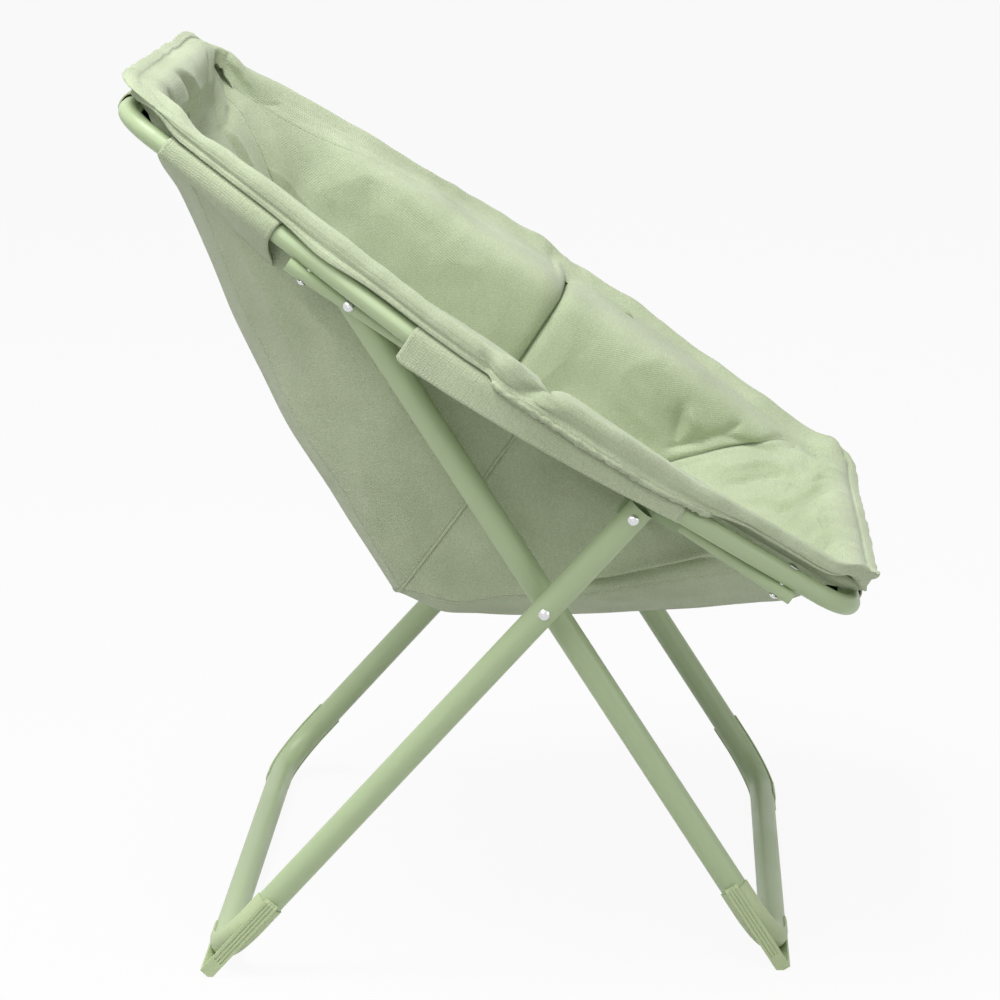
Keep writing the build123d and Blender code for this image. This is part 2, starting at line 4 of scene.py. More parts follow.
import bmesh
import bpy
import numpy as np
from mathutils import Matrix, Vector, noise
from mathutils.bvhtree import BVHTree


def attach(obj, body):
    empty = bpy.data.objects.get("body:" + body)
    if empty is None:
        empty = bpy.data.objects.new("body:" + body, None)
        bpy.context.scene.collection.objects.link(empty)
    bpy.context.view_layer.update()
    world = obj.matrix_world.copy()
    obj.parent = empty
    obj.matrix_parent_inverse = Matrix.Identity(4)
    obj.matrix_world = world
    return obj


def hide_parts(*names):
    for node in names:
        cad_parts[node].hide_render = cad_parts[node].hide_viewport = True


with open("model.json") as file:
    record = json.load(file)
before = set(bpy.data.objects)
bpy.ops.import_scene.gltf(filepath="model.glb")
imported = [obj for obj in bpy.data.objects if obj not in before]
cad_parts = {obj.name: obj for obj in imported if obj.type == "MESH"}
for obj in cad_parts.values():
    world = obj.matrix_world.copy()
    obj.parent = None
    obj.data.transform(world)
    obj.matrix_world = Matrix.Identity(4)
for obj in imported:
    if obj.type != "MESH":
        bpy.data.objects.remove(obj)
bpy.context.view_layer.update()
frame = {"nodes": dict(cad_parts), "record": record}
bpy.ops.object.select_all(action="DESELECT")

# ---- the seat ring's own frame: x to the sitter's left, y up the ring, h square to it, all in mm ----
RING_MIDDLE = (8.0355, 561.5671)        # its y and z in the row frame
RING_TILT = math.radians(33.7339)
HALF_LENGTH = 400.0
ARC_POINTS = 60
# corners of the ring's outline: x, y, radius
CORNERS = [(206.0, 400.0, 54.0), (359.8, -37.1, 430.0), (263.0, -400.0, 54.0)]
SIDES = (("left", 1), ("right", -1))    # the sitter's, with the sign of x

# ---- the cover's main sizes ----
SEAM_ACROSS = -57.0           # y of the cross seam
SLEEVE_TOP = 11.9             # the rim's underside
BOWL_EDGE = 385.6             # the bowl's top and front edges, from the ring's middle
BOWL_DEPTH = 284.0
PAD_END = 393.0               # the pads run on under the rim to here
RIM_INSIDE = 7.0              # the walls end this far inside the tube's centre line
WALL_INSIDE = 14.4            # their shoulders lie at least this far inside it
SHOULDER_X = 244.5            # and clear the leg frames
SHOULDER_BLEND = 9.0          # how softly they turn away from the legs
SHOULDER_DROP = 9.5           # how far under the rim they are,
SHOULDER_PLACE = 0.06         # from this place on
WALL_BOW = 0.06               # how far the walls bow out, as a share of their run
PADDING = 11.0
SEWN_PADDING = 5.0            # what is left of it at the cross seam,
SEAM_PINCH = 3.5              # less what the stitches there press in
LEAST_PADDING = 2.0
CROWN = 5.0                   # how far the middle of a panel rises over its edges
CREASE_REACH = 25             # a crease shows only on cloth that is this near to its line
CLOTH = 1.5                   # single cloth with its hem


def seat(points):
    """Points (x, y, h) in the ring's frame, in mm, as points of the row frame, in metres."""
    p = np.asarray(points, float)
    c, s = math.cos(RING_TILT), math.sin(RING_TILT)
    y = RING_MIDDLE[0] + c * p[..., 1] - s * p[..., 2]
    z = RING_MIDDLE[1] + s * p[..., 1] + c * p[..., 2]
    return np.stack([p[..., 0], y, z], -1) / 1000.0


# ---- lines and tables ----
def walk(points):
    """Distances walked along a line of points."""
    return np.concatenate([[0], np.cumsum(np.linalg.norm(np.diff(points, axis=0), axis=1))])


def walk_grid(grid, axis):
    """Distances walked over a grid of points: down its columns on axis 0, along its rows on axis 1."""
    steps = np.linalg.norm(np.diff(grid, axis=axis), axis=2)
    return np.concatenate([np.zeros_like(steps.take([0], axis)), np.cumsum(steps, axis)], axis)


def resampled(points, walked, at):
    """Points at the distances at along a line whose own points lie at the distances walked."""
    return np.column_stack([np.interp(at, walked, column) for column in points.T])


def rise(value, start, end):
    """0 up to start, 1 from end on and straight between them; end may be the smaller of the two."""
    return np.clip((value - start) / (end - start), 0, 1)


def bell(value, middle, width):
    return np.exp(-((value - middle) / width) ** 2)


def evened(rows, reach):
    """Rows round the closed ring, evened out over reach rows each way."""
    return sum(np.roll(rows, k, 0) for k in range(-reach, reach + 1)) / (2 * reach + 1)


def uneven(point, layer, grain):
    """Smooth noise of about -1 to 1 at (x, y); layer picks a pattern, and grain is its size in mm."""
    return noise.noise(Vector((point[0], point[1], layer)) / grain)


def smooth_table(table, at):
    """Rows of a table at the places at, on a smooth curve that doesn't overshoot."""
    table = np.array(table, float)
    x, rows = table[:, 0], table[:, 1:]
    slope = np.diff(rows, axis=0) / np.diff(x)[:, None]
    product = slope[:-1] * slope[1:]
    tangent = np.zeros_like(rows)
    tangent[0], tangent[-1] = slope[0], slope[-1]
    tangent[1:-1] = np.where(product > 0, 2 * product / np.where(product > 0, slope[:-1] + slope[1:], 1), 0)
    at = np.clip(np.asarray(at, float), x[0], x[-1])
    i = np.clip(np.searchsorted(x, at, side="right") - 1, 0, len(x) - 2)
    w = (x[i + 1] - x[i])[..., None]
    t = (at - x[i])[..., None] / w
    a, b = rows[i], rows[i + 1]
    return ((2 * t ** 3 - 3 * t ** 2 + 1) * a + (t ** 3 - 2 * t ** 2 + t) * w * tangent[i]
            + (3 * t ** 2 - 2 * t ** 3) * b + (t ** 3 - t ** 2) * w * tangent[i + 1])


def spline(points, at):
    """Points at shares at (0 to 1) along a smooth curve through points, by chord length."""
    points = np.array(points, float)
    chord = walk(points)
    return smooth_table(np.column_stack([chord / chord[-1], points]), at)


# ---- the ring's outline ----
def normal_angles():
    """The angle of the outward normal on each straight stretch, from the top bar down the left side."""
    angles = [math.pi / 2]
    for (x0, y0, _), (x1, y1, _) in zip(CORNERS, CORNERS[1:]):
        angles.append(math.atan2(x1 - x0, y0 - y1))
    return angles + [-math.pi / 2]


def rounded_corners():
    """Each rounded corner of the outline: centre, radius, first and last angle of the outward normal."""
    angles = normal_angles()
    found = []
    for (x, y, radius), first, last in zip(CORNERS, angles, angles[1:]):
        share = radius / (1 + math.cos(first - last))
        cx = x - share * (math.cos(first) + math.cos(last))
        cy = y - share * (math.sin(first) + math.sin(last))
        found.append(((cx, cy), radius, first, last))
    return found


def half_width(y, grow=0.0):
    """Half the ring's width at y, on an outline that lies grow outside the tube's centre line."""
    arcs = rounded_corners()
    top = arcs[0][0][1] + arcs[0][1] + grow
    bottom = arcs[-1][0][1] - arcs[-1][1] - grow
    y = max(bottom, min(top, y))
    for (cx, cy), radius, first, last in arcs:
        r = radius + grow
        if cy + r * math.sin(last) <= y <= cy + r * math.sin(first):
            return cx + math.sqrt(max(0.0, r * r - (y - cy) ** 2))
    angles = normal_angles()
    (x, at, _), angle = (CORNERS[0], angles[1]) if y > CORNERS[1][1] else (CORNERS[2], angles[2])
    return x - (y - at) * math.tan(angle) + grow / math.cos(angle)


def outline(spacing):
    """The ring's closed centre line, in even steps from the top's middle: points and outward normals."""
    half = [(0.0, HALF_LENGTH)]
    for (cx, cy), radius, first, last in rounded_corners():
        for angle in np.linspace(first, last, ARC_POINTS):
            half.append((cx + radius * math.cos(angle), cy + radius * math.sin(angle)))
    half.append((0.0, -HALF_LENGTH))
    loop = np.array(half + [(-x, y) for x, y in half[-2:0:-1]] + [half[0]])
    walked = walk(loop)
    at = np.linspace(0, walked[-1], int(walked[-1] / spacing), endpoint=False)
    points = resampled(loop, walked, at)
    ahead = np.roll(points, -1, 0) - np.roll(points, 1, 0)
    ahead /= np.linalg.norm(ahead, axis=1)[:, None]
    return points, np.stack([-ahead[:, 1], ahead[:, 0]], -1)


# ---- the cover's lines, from the rim (place 0) to the cross seam (place 1) ----
# bottom line: place, share of the bowl's depth
BACK_BOTTOM = [(0, 0), (0.03, 0.13), (0.065, 0.21), (0.142, 0.264), (0.262, 0.383), (0.377, 0.51),
               (0.501, 0.626), (0.628, 0.743), (0.774, 0.841), (0.919, 0.94), (1, 1)]
SEAT_BOTTOM = [(0, 0), (0.024, 0.2), (0.06, 0.3), (0.109, 0.355), (0.24, 0.489), (0.377, 0.612),
               (0.562, 0.778), (0.75, 0.92), (0.86, 0.985), (1, 1)]
# side seam: place, x, height over the bottom line
BACK_SEAM = [(0, 164, 0), (0.03, 178, 30), (0.065, 186, 44), (0.142, 189, 45), (0.4, 191, 45),
             (0.628, 192, 46), (0.774, 188, 43), (0.919, 176, 36), (1, 162, 31)]
SEAT_SEAM = [(0, 220, 0), (0.024, 228, 54), (0.06, 234, 79), (0.109, 238, 92), (0.24, 234, 103),
             (0.377, 220, 92), (0.562, 203, 77), (0.75, 190, 66), (0.86, 176, 48), (1, 162, 31)]


def place_at(y):
    end = np.where(y >= SEAM_ACROSS, BOWL_EDGE, -BOWL_EDGE)
    return np.clip((end - y) / (end - SEAM_ACROSS), 0, 1)


def line_at(back_table, seat_table, y):
    """A row of the back's table or of the seat's, whichever y lies on."""
    place = place_at(y)
    on_back = (y >= SEAM_ACROSS)[..., None]
    return np.where(on_back, smooth_table(back_table, place), smooth_table(seat_table, place))


def bottom_height(y):
    """The bowl's bottom line, outside."""
    return SLEEVE_TOP - BOWL_DEPTH * line_at(BACK_BOTTOM, SEAT_BOTTOM, y)[..., 0]


def seam_at(y):
    """x and h of the side seam at y."""
    row = line_at(BACK_SEAM, SEAT_SEAM, y)
    return row[..., 0], np.minimum(bottom_height(y) + row[..., 1], SLEEVE_TOP)


def arc_through(x, lift, turn):
    """Points at shares turn (-1 to 1) of an arc from (-x, lift) through (0, 0) to (x, lift)."""
    lift = max(lift, 0.01)
    radius = (x * x + lift * lift) / (2 * lift)
    angle = math.asin(min(1.0, x / radius)) * np.asarray(turn)
    return radius * np.sin(angle), radius * (1 - np.cos(angle))


# ---- cloth meshes ----
def cloth_object(name, points, faces, uv=None):
    """A mesh object of row-frame points, with faces outwards and a UV map in metres."""
    mesh = bpy.data.meshes.new(name)
    mesh.from_pydata([tuple(p) for p in points], [], faces)
    if uv is not None:
        layer = mesh.uv_layers.new(name="cloth")
        index = np.empty(len(mesh.loops), int)
        mesh.loops.foreach_get("vertex_index", index)
        layer.data.foreach_set("uv", np.asarray(uv, np.float32)[index].ravel())
    work = bmesh.new()
    work.from_mesh(mesh)
    bmesh.ops.recalc_face_normals(work, faces=work.faces)
    work.to_mesh(mesh)
    work.free()
    mesh.polygons.foreach_set("use_smooth", [True] * len(mesh.polygons))
    piece = bpy.data.objects.new(name, mesh)
    bpy.context.scene.collection.objects.link(piece)
    return piece


def grid_faces(rows, columns, offset=0, wrap_rows=False, wrap_columns=False):
    faces = []
    for i in range(rows if wrap_rows else rows - 1):
        for j in range(columns if wrap_columns else columns - 1):
            a, b = i * columns, (i + 1) % rows * columns
            k = (j + 1) % columns
            faces.append((offset + a + j, offset + b + j, offset + b + k, offset + a + k))
    return faces


def arc_uv(grid):
    """UV in metres: the distances walked across and along a grid of mm points."""
    across, along = walk_grid(grid, 1), walk_grid(grid, 0)
    across -= across[:, across.shape[1] // 2][:, None]
    return np.stack([across, along], -1).reshape(-1, 2) / 1000.0


def pad_faces(rows, columns):
    """Faces of a closed pad between two grids: the outside, the inside and the edge."""
    count = rows * columns
    faces = [tuple(reversed(f)) for f in grid_faces(rows, columns)] + grid_faces(rows, columns, count)
    edge = list(range(columns))
    edge += [i * columns + columns - 1 for i in range(1, rows)]
    edge += [(rows - 1) * columns + j for j in range(columns - 2, -1, -1)]
    edge += [i * columns for i in range(rows - 2, 0, -1)]
    for a, b in zip(edge, edge[1:] + edge[:1]):
        faces.append((a, b, count + b, count + a))
    return faces


def tube_object(name, grid, closed=False):
    """Cloth whose grid's rows are closed sections: a loop of them if closed, and else with flat ends."""
    rows, columns = grid.shape[:2]
    faces = grid_faces(rows, columns, wrap_rows=closed, wrap_columns=True)
    if not closed:
        faces += [tuple(range(columns)), tuple(reversed(range((rows - 1) * columns, rows * columns)))]
    return cloth_object(name, seat(grid.reshape(-1, 3)), faces, arc_uv(grid))


def swept_grid(points, normals, sections):
    """A grid of ring-frame points: a section, as points (outwards, up), at each point of a line."""
    grid = np.zeros(sections.shape[:2] + (3,))
    grid[..., :2] = points[:, None] + normals[:, None] * sections[..., :1]
    grid[..., 2] = sections[..., 1]
    return grid


def grid_normals(grid):
    """Unit normals of a grid of points, towards the sitter, evened out over a seam's width."""
    n = np.cross(np.gradient(grid, axis=1), np.gradient(grid, axis=0))
    n /= np.maximum(np.linalg.norm(n, axis=2), 1e-9)[..., None]
    # the sitter is above the bowl's middle
    sitter = np.zeros(grid.shape)
    sitter[..., 0], sitter[..., 2] = -grid[..., 0] / 200, 1.0
    n *= np.where((n * sitter).sum(-1) < 0, -1, 1)[..., None]
    for axis in (0, 1):
        for _ in range(2):
            padded = np.concatenate([n.take([0], axis), n, n.take([-1], axis)], axis)
            count = n.shape[axis]
            n = sum(padded.take(range(k, k + count), axis) for k in (0, 1, 2)) / 3
    return n / np.linalg.norm(n, axis=2)[..., None]


def field(grid, grain, seed):
    """Smooth noise of about -1 to 1 at ring-frame points; grain is its size in mm."""
    start = Vector((seed * 7.3, seed * 3.1, seed * 5.7))
    values = [noise.noise(Vector(p) / grain + start) for p in grid.reshape(-1, 3)]
    return np.array(values).reshape(grid.shape[:2])


def edge_rise(distance, width):
    """0 at a sewn edge and 1 from width on, with a cushion's round shoulder."""
    return np.sqrt(1 - (1 - rise(distance, 0, width)) ** 2)


def fold(grid, normals, start, end, width, height, within):
    """A soft ridge, or a valley if height is negative, from start to end, on cloth up to within away."""
    run = end - start
    share = ((grid - start) @ run) / (run @ run)
    gap = grid - (start + np.clip(share, 0, 1)[..., None] * run)
    above = (gap * normals).sum(-1)
    off = np.linalg.norm(gap - above[..., None] * normals, axis=-1)
    # it is a quarter as high at its ends
    fade = 0.25 + 0.75 * np.sin(np.pi * np.clip(share, 0.02, 0.98)) ** 0.6
    return height * fade * np.exp(-(off / width) ** 1.3) * np.clip(2 - np.abs(above) / within, 0, 1)


def all_folds(grid, normals, folds, within):
    """The heights of folds, each on both sides of the chair unless it crosses the middle."""
    total = np.zeros(grid.shape[:2])
    for start, end, width, height in folds:
        for side in ((1, -1) if start[0] * end[0] > 0 else (1,)):
            turned = np.array((side, 1.0, 1.0))
            total += fold(grid, normals, start * turned, end * turned, width, height, within)
    return total


# ---- the cover, section by section ----
MIDDLE, SIDE = 64, 76         # columns of half a middle panel and of a side panel
LAST_COLUMN = 2 * (MIDDLE + SIDE)
SEAM_COLUMNS = (SIDE, SIDE + 2 * MIDDLE)
BOTTOM_POINTS, WALL_POINTS = 50, 80


def half_section(y):
    """The outside at y, from middle to rim: points (x, h), distances walked, and where the side seam is."""
    y = np.float64(y)
    x, h = seam_at(y)
    bottom = bottom_height(y)
    px, ph = arc_through(x, h - bottom, np.linspace(0, 1, BOTTOM_POINTS))
    rim_x = half_width(y, -RIM_INSIDE)
    wide = max((x + rim_x) / 2, half_width(y, -WALL_INSIDE))
    shoulder_x = 0.5 * (SHOULDER_X + wide - math.hypot(SHOULDER_X - wide, SHOULDER_BLEND))
    shoulder_h = max(h + 0.1, SLEEVE_TOP - SHOULDER_DROP * min(1.0, place_at(y) / SHOULDER_PLACE))
    waist_x = (x + shoulder_x) / 2 + (shoulder_h - h) * WALL_BOW
    waist_h = (h + shoulder_h) / 2 - (shoulder_x - x) * WALL_BOW
    past = min(shoulder_x + 4, (shoulder_x + rim_x) / 2)
    wall = [(x, h), (waist_x, waist_h), (shoulder_x - 0.5, shoulder_h - 2.0), (past, shoulder_h + 2.5),
            (rim_x, SLEEVE_TOP + 0.3)]
    wall = spline(wall, np.linspace(0, 1, WALL_POINTS))
    points = np.concatenate([np.column_stack([px, bottom + ph]), wall[1:]])
    walked = walk(points)
    return points, walked, walked[BOTTOM_POINTS - 1]


def cover_grid(y_from, rows, seam_shift):
    """Half the cover, from the rim at y_from to the cross seam; seam_shift(y) moves its side seams out."""
    grid = np.zeros((rows, LAST_COLUMN + 1, 3))
    # rows lie closer together near the rim
    for i, y in enumerate(y_from + (SEAM_ACROSS - y_from) * np.linspace(0, 1, rows) ** 1.3):
        points, walked, seam = half_section(y)
        seam = min(seam + seam_shift(y), walked[-1] - 4)
        at = np.concatenate([np.linspace(0, seam, MIDDLE + 1), np.linspace(seam, walked[-1], SIDE + 1)[1:]])
        x, h = resampled(points, walked, at).T
        grid[i, :, 0] = np.concatenate([-x[:0:-1], x])
        grid[i, :, 1] = y
        grid[i, :, 2] = np.concatenate([h[:0:-1], h])
    return grid


def walked_over(grid):
    """Distances in mm from the nearest side seam, from the rim and from the cross seam."""
    down, over = walk_grid(grid, 0), walk_grid(grid, 1)
    from_seam = np.minimum.reduce([np.abs(over - over[:, [k]]) for k in SEAM_COLUMNS])
    from_rim = np.minimum.reduce([over, over[:, -1:] - over, down])
    return from_seam, from_rim, down[-1] - down


def padded_inside(grid, seed, seam_dip, folds):
    """The inside of the padding, crowned between its seams: smooth, and with its folds."""
    from_seam, from_rim, ahead = walked_over(grid)
    open_area = rise(from_rim, 0, 70) ** 0.7
    thick = SEWN_PADDING + (PADDING - SEWN_PADDING) * edge_rise(ahead, 16) - SEAM_PINCH * np.exp(-ahead / 2.6)
    thick += CROWN * edge_rise(from_seam, 80) * edge_rise(ahead, 80) * open_area
    thick -= seam_dip * np.exp(-(from_seam / 3.4) ** 1.5) * edge_rise(ahead, 20)
    # the filling lies unevenly
    calm = edge_rise(ahead, 40)
    thick += (3.0 * field(grid, 105, seed) + 1.3 * field(grid, 42, seed + 1)) * calm
    # slack cloth gathers in soft ridges
    thick += 2.4 * (1 - np.abs(field(grid * (1, 0.55, 0.8), 62, seed + 2))) ** 5 * calm * open_area
    normals = grid_normals(grid)
    creases = all_folds(grid + normals * PADDING, normals, folds, CREASE_REACH)
    return [grid + normals * np.maximum(t, LEAST_PADDING)[..., None] for t in (thick, thick + creases)]


def loose_outside(grid, seed, folds):
    """The outside cloth: a little slack between its seams, with a tuck along each of folds."""
    from_seam, from_rim, ahead = walked_over(grid)
    free = edge_rise(np.minimum.reduce([from_seam, from_rim, ahead]), 34)
    out = (1.8 * field(grid, 110, seed) + 0.6 * field(grid, 45, seed + 1)) * free
    # stitches pull the cloth in along each seam
    out -= 1.3 * bell(from_seam, 0, 2.6) + 1.3 * bell(ahead, 0, 2.6)
    normals = grid_normals(grid)
    out += all_folds(grid, normals, folds, CREASE_REACH)
    return grid - normals * out[..., None]


# folds: from, to, half width and height, as read off the photograph
back_folds = [((155, 352, 0), (143, 338, -14), 6, -3), ((173, 333, -3), (153, 325, -14), 6, -4),
              ((153, 325, -14), (122, 328, -22), 7, -3.5), ((142, 325, -17), (153, 280, -42), 5, 4.5),
              ((134, 322, -22), (143, 284, -44), 6, -4), ((-63, 387, 35), (6, 363, 12), 7, -5),
              ((6, 363, 12), (102, 338, -26), 7, -3.5), ((-59, 392, 36), (36, 366, 14), 9, 4),
              ((36, 366, 14), (117, 345, -11), 9, 3.5), ((149, 379, 31), (128, 364, 15), 6, -5),
              ((128, 364, 15), (96, 352, -6), 7, -3), ((188, 378, 32), (196, 359, 14), 6, -5),
              ((196, 359, 14), (173, 333, -3), 6, -3), ((204, 288, -7), (195, 238, -46), 14, 3.5),
              ((214, 212, -32), (231, 178, 7), 20, 2.5), ((231, 178, 7), (221, 154, -25), 16, -1.8),
              ((229, 138, 3), (223, 90, -13), 14, -3), ((60, 300, -70), (120, 180, -110), 18, 3),
              ((-30, 290, -75), (40, 160, -125), 15, -2.8), ((90, 160, -130), (150, 40, -150), 20, 2.6),
              ((337, -29, 35), (246, -50, 16), 5, -3.5), ((322, -40, 30), (255, -46, 18), 6, 3)]
seat_folds = [((218, -236, -54), (227, -275, -12), 5, -6), ((227, -275, -12), (231, -284, 6), 5, -4),
              ((224, -222, -14), (221, -238, -46), 6, -7), ((222, -233, -12), (226, -252, -24), 6, 5),
              ((227, -277, -14), (222, -345, 9), 4.5, -5), ((222, -345, 9), (185, -383, 30), 4.5, -5),
              ((185, -301, -47), (195, -342, -12), 5.5, -8), ((195, -342, -12), (138, -383, 30), 5.5, -8),
              ((189, -310, -32), (160, -384, 30), 7.5, 7), ((156, -327, -47), (123, -376, 16), 6, -8),
              ((165, -330, -38), (128, -383, 24), 7.5, 7), ((112, -340, -48), (84, -383, 26), 6, -7),
              ((100, -345, -45), (60, -384, 26), 7.5, 6), ((66, -352, -44), (20, -384, 27), 6, -7),
              ((40, -354, -44), (-22, -384, 27), 7.5, 6), ((201, -290, -41), (211, -329, -7), 7, 6),
              ((210, -318, -14), (196, -380, 28), 7, 5), ((60, -250, -150), (130, -160, -190), 18, 4),
              ((200, -110, -70), (216, -206, -64), 16, 4), ((216, -206, -64), (190, -278, -60), 12, -4)]
rim_folds = [((345, 6, 31), (349, -24, 15), 6, 5.5), ((343, 18, 30), (346, 4, 15), 6, -3.5),
             ((349, -26, 17), (346, -48, 31), 5, -6), ((346, -48, 31), (337, -68, 33), 5, -4.5),
             ((350, -36, 14), (349, -66, 23), 7, 4.5), ((335, 96, 30), (346, 60, 24), 10, 2.5),
             ((326, -160, 30), (338, -112, 27), 11, 3), ((300, -236, 31), (318, -190, 27), 11, -2.6),
             ((268, -330, 31), (288, -280, 27), 11, 2.6), ((290, 230, 31), (312, 180, 26), 11, 2.4),
             ((204, 372, 30), (222, 345, 20), 8, 3.5), ((214, 356, 30), (232, 326, 20), 8, -3)]
outer_back_folds = [((230, 178, -48), (232, 118, -59), 13, 6), ((215, 106, -113), (220, 36, -118), 15, -6.5),
                    ((222, 250, -34), (212, 144, -98), 12, 6), ((206, 170, -140), (200, 60, -170), 17, 5.5),
                    ((176, -20, -215), (214, 70, -120), 16, 5)]
outer_seat_folds = [((203, -186, -127), (221, -232, -81), 4.5, -13),
                    ((221, -232, -81), (240, -272, -38), 4.5, -12),
                    ((204, -180, -118), (222, -226, -71), 6, 10), ((222, -226, -71), (241, -266, -29), 6, 9),
                    ((237, -132, -37), (238, -170, -33), 6, -5), ((237, -150, -46), (228, -160, -100), 9, -4),
                    ((238, -176, -40), (236, -214, -46), 7, 4), ((203, -150, -150), (180, -240, -120), 14, 3)]


def same_seam(y):
    return 0.0


def seat_seam_shift(y):
    """The front pad's side seam lies further out inside than outside."""
    return 19.0 * rise(y, -175, -235)


cover_pieces = []             # padded
strips = []                   # sheets, with their flat sizes
thread_pieces = []
outsides = {}
cover_points, cover_faces = [], []
pad_points, pad_quads = [], []


def sew_half(part, middle, wing, y_from, rows, seed, seam_shift, seam_dip, folds, outer_folds):
    """The back's or the seat's three pads: the middle panel and one on each side."""
    outside = loose_outside(cover_grid(y_from, rows, same_seam), seed + 20, outer_folds)
    smooth, inside = padded_inside(cover_grid(y_from, rows, seam_shift), seed, seam_dip, folds)
    outsides[part] = outside
    spans = [(middle, "cover_%s_panel" % part, SEAM_COLUMNS[0], SEAM_COLUMNS[1])]
    for side, first, last in (("right", 0, SEAM_COLUMNS[0]), ("left", SEAM_COLUMNS[1], LAST_COLUMN)):
        spans.append((wing + side, "cover_%s_side_%s" % (part, side), first, last))
    for name, node, first, last in spans:
        outer, inner, plain = (grid[:, first:last + 1] for grid in (outside, inside, smooth))
        faces = pad_faces(*outer.shape[:2])
        points = np.concatenate([outer.reshape(-1, 3), inner.reshape(-1, 3)])
        piece = cloth_object(name, seat(points), faces, np.concatenate([arc_uv(outer), arc_uv(inner)]))
        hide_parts(node)
        cover_pieces.append(piece)
        pad_quads.extend(grid_faces(*inner.shape[:2], len(pad_points)))
        pad_points.extend(tuple(p) for p in inner.reshape(-1, 3))
        cover_faces.extend(tuple(k + len(cover_points) for k in f) for f in faces)
        for grid in (outer, plain):
            cover_points.extend(tuple(p) for p in grid.reshape(-1, 3))


sew_half("back", "back_pad", "back_wing_", y_from=PAD_END, rows=190, seed=1, seam_shift=same_seam,
         seam_dip=1.0, folds=back_folds, outer_folds=outer_back_folds)
sew_half("seat", "seat_pad", "thigh_wing_", y_from=-PAD_END, rows=180, seed=5, seam_shift=seat_seam_shift,
         seam_dip=2.4, folds=seat_folds, outer_folds=outer_seat_folds)
surface = BVHTree.FromPolygons(cover_points, cover_faces)      # the cover without its creases
pads = BVHTree.FromPolygons(pad_points, pad_quads)             # its creased inside


ABOVE_ALL, BESIDE_ALL = 150, 30         # where the rays that feel for the cover start
NO_TOP, NO_WALL = -60.0, -25.0          # what stands for a surface that isn't there


def top_of_cover(x, y):
    hit = surface.ray_cast(Vector((x, y, ABOVE_ALL)), Vector((0, 0, -1)))
    return hit[0].z if hit[0] else NO_TOP


def wall_beside(point, normal, h):
    """How far outwards of the ring's centre line the cover's wall is, at height h."""
    start = Vector((point[0] + normal[0] * BESIDE_ALL, point[1] + normal[1] * BESIDE_ALL, h))
    hit = surface.ray_cast(start, Vector((-normal[0], -normal[1], 0)))
    return BESIDE_ALL - hit[3] if hit[0] else NO_WALL


# ---- the rim: the padded edge that stands on the ring and runs into the inside without a break ----
ring_points, ring_normals = outline(3.0)
ring_x, ring_y = ring_points.T
across_ring = np.abs(ring_normals[:, 1])
# where the rim changes: shares of 0 to 1 at each point of the ring
on_bar = rise(across_ring, 0.5, 0.9)    # 1 on the top and front bars, 0 down the sides
at_top = on_bar * (ring_y > 0)
at_front = on_bar * (ring_y < 0)
corner_up = bell(ring_y, 374, 22) * (np.abs(ring_x) > 165)
corner_low = bell(ring_y, -383, 18) * rise(np.abs(ring_x), 190, 220)
# the top's hem flares out on the right
top_flare = rise(ring_x, 90, -170) * rise(ring_y, 345, 390)
# at the top the padding swells like a pillow, round both corners
pillow = np.maximum(at_top ** 2, rise(ring_y, 300, 370))
front_gap = rise(ring_y, -226, -266) * (1 - on_bar)
rear_bolt = bell(ring_y, 178, 34) * (1 - on_bar)
kink = bell(ring_y, -14, 15) * (1 - on_bar)         # the flap's upper end pushes the rim up
# over the flaps the rim's hem hangs lower and further out
lapped = rise(ring_y, 2, -14) * rise(ring_y, -236, -176) * (1 - on_bar)
straight = evened(rise(across_ring, 0.97, 1.0) * (ring_y > 0), 10)
turning = np.linalg.norm(np.roll(ring_normals, -1, 0) - np.roll(ring_normals, 1, 0), axis=1)
bend = evened(rise(turning, 0, 1 / 9), 7)
# and how unevenly it is sewn, from -1 to 1
wave = np.array([uneven(p, 4.0, 52.0) for p in ring_points])
ripple = np.array([uneven(p, 90.0, 21.0) for p in ring_points])

RIM_HEIGHT = 34.0
BAR_LOWER = 1.5               # the rim is this much lower along the bars
CREST_OUT, FRONT_IN, BAR_IN = 1.5, 4.0, 1.0
WAVE, RIPPLE, KINK = 1.6, 0.8, 3.2
CORNER_RISE, PILLOW_SINK = 10.0, 6.0
LAP_OUT, LAP_DROP = 4.6, 4.2            # how the hem hangs over the flaps
BOLT_OUT, BOLT_DROP = 3.0, 4.5          # and over the rear bolts
# how far the rim's roll reaches into the bowl and how far it falls there, and what is added where
REACH, SIDE_REACH, PILLOW_REACH, FRONT_REACH = 13.0, 5.0, 34.0, 12.0
FALL, PILLOW_FALL, FRONT_FALL = 17.0, 34.0, 6.0
FAR_DOWN = -200.0             # past its reach
ROLL_BLEND = 4.5
# length of the inner part's section, what a straight bar adds to it and what a bend takes away
INNER_LENGTH, STRAIGHT_LENGTH, BEND_LENGTH = 46.0, 30.0, 16.0
FLANGE = 34                   # columns of the inner part
EDGE_STEPS = 6                # columns of the outer part, for each point of its section
SETTLED = 0.66                # share of the inner part's columns that settle on the pads
REST_LIFT = 0.5               # how far over the pads they come to lie
CLIMB_FROM, CLIMB = 0.8, 34   # from this share of the way in they may rise to the crest
TUCK_FROM, TUCK = 0.84, 30    # and from this one the end runs in under the pads
DEEPEST, HIGHEST = -6.0, 3.5  # the furthest that they move in and out
depths = np.arange(3.0, -82.0, -1.5)
heights = np.array([[top_of_cover(*(p + n * a)) for a in depths] for p, n in zip(ring_points, ring_normals)])
heights = evened(heights, 4)
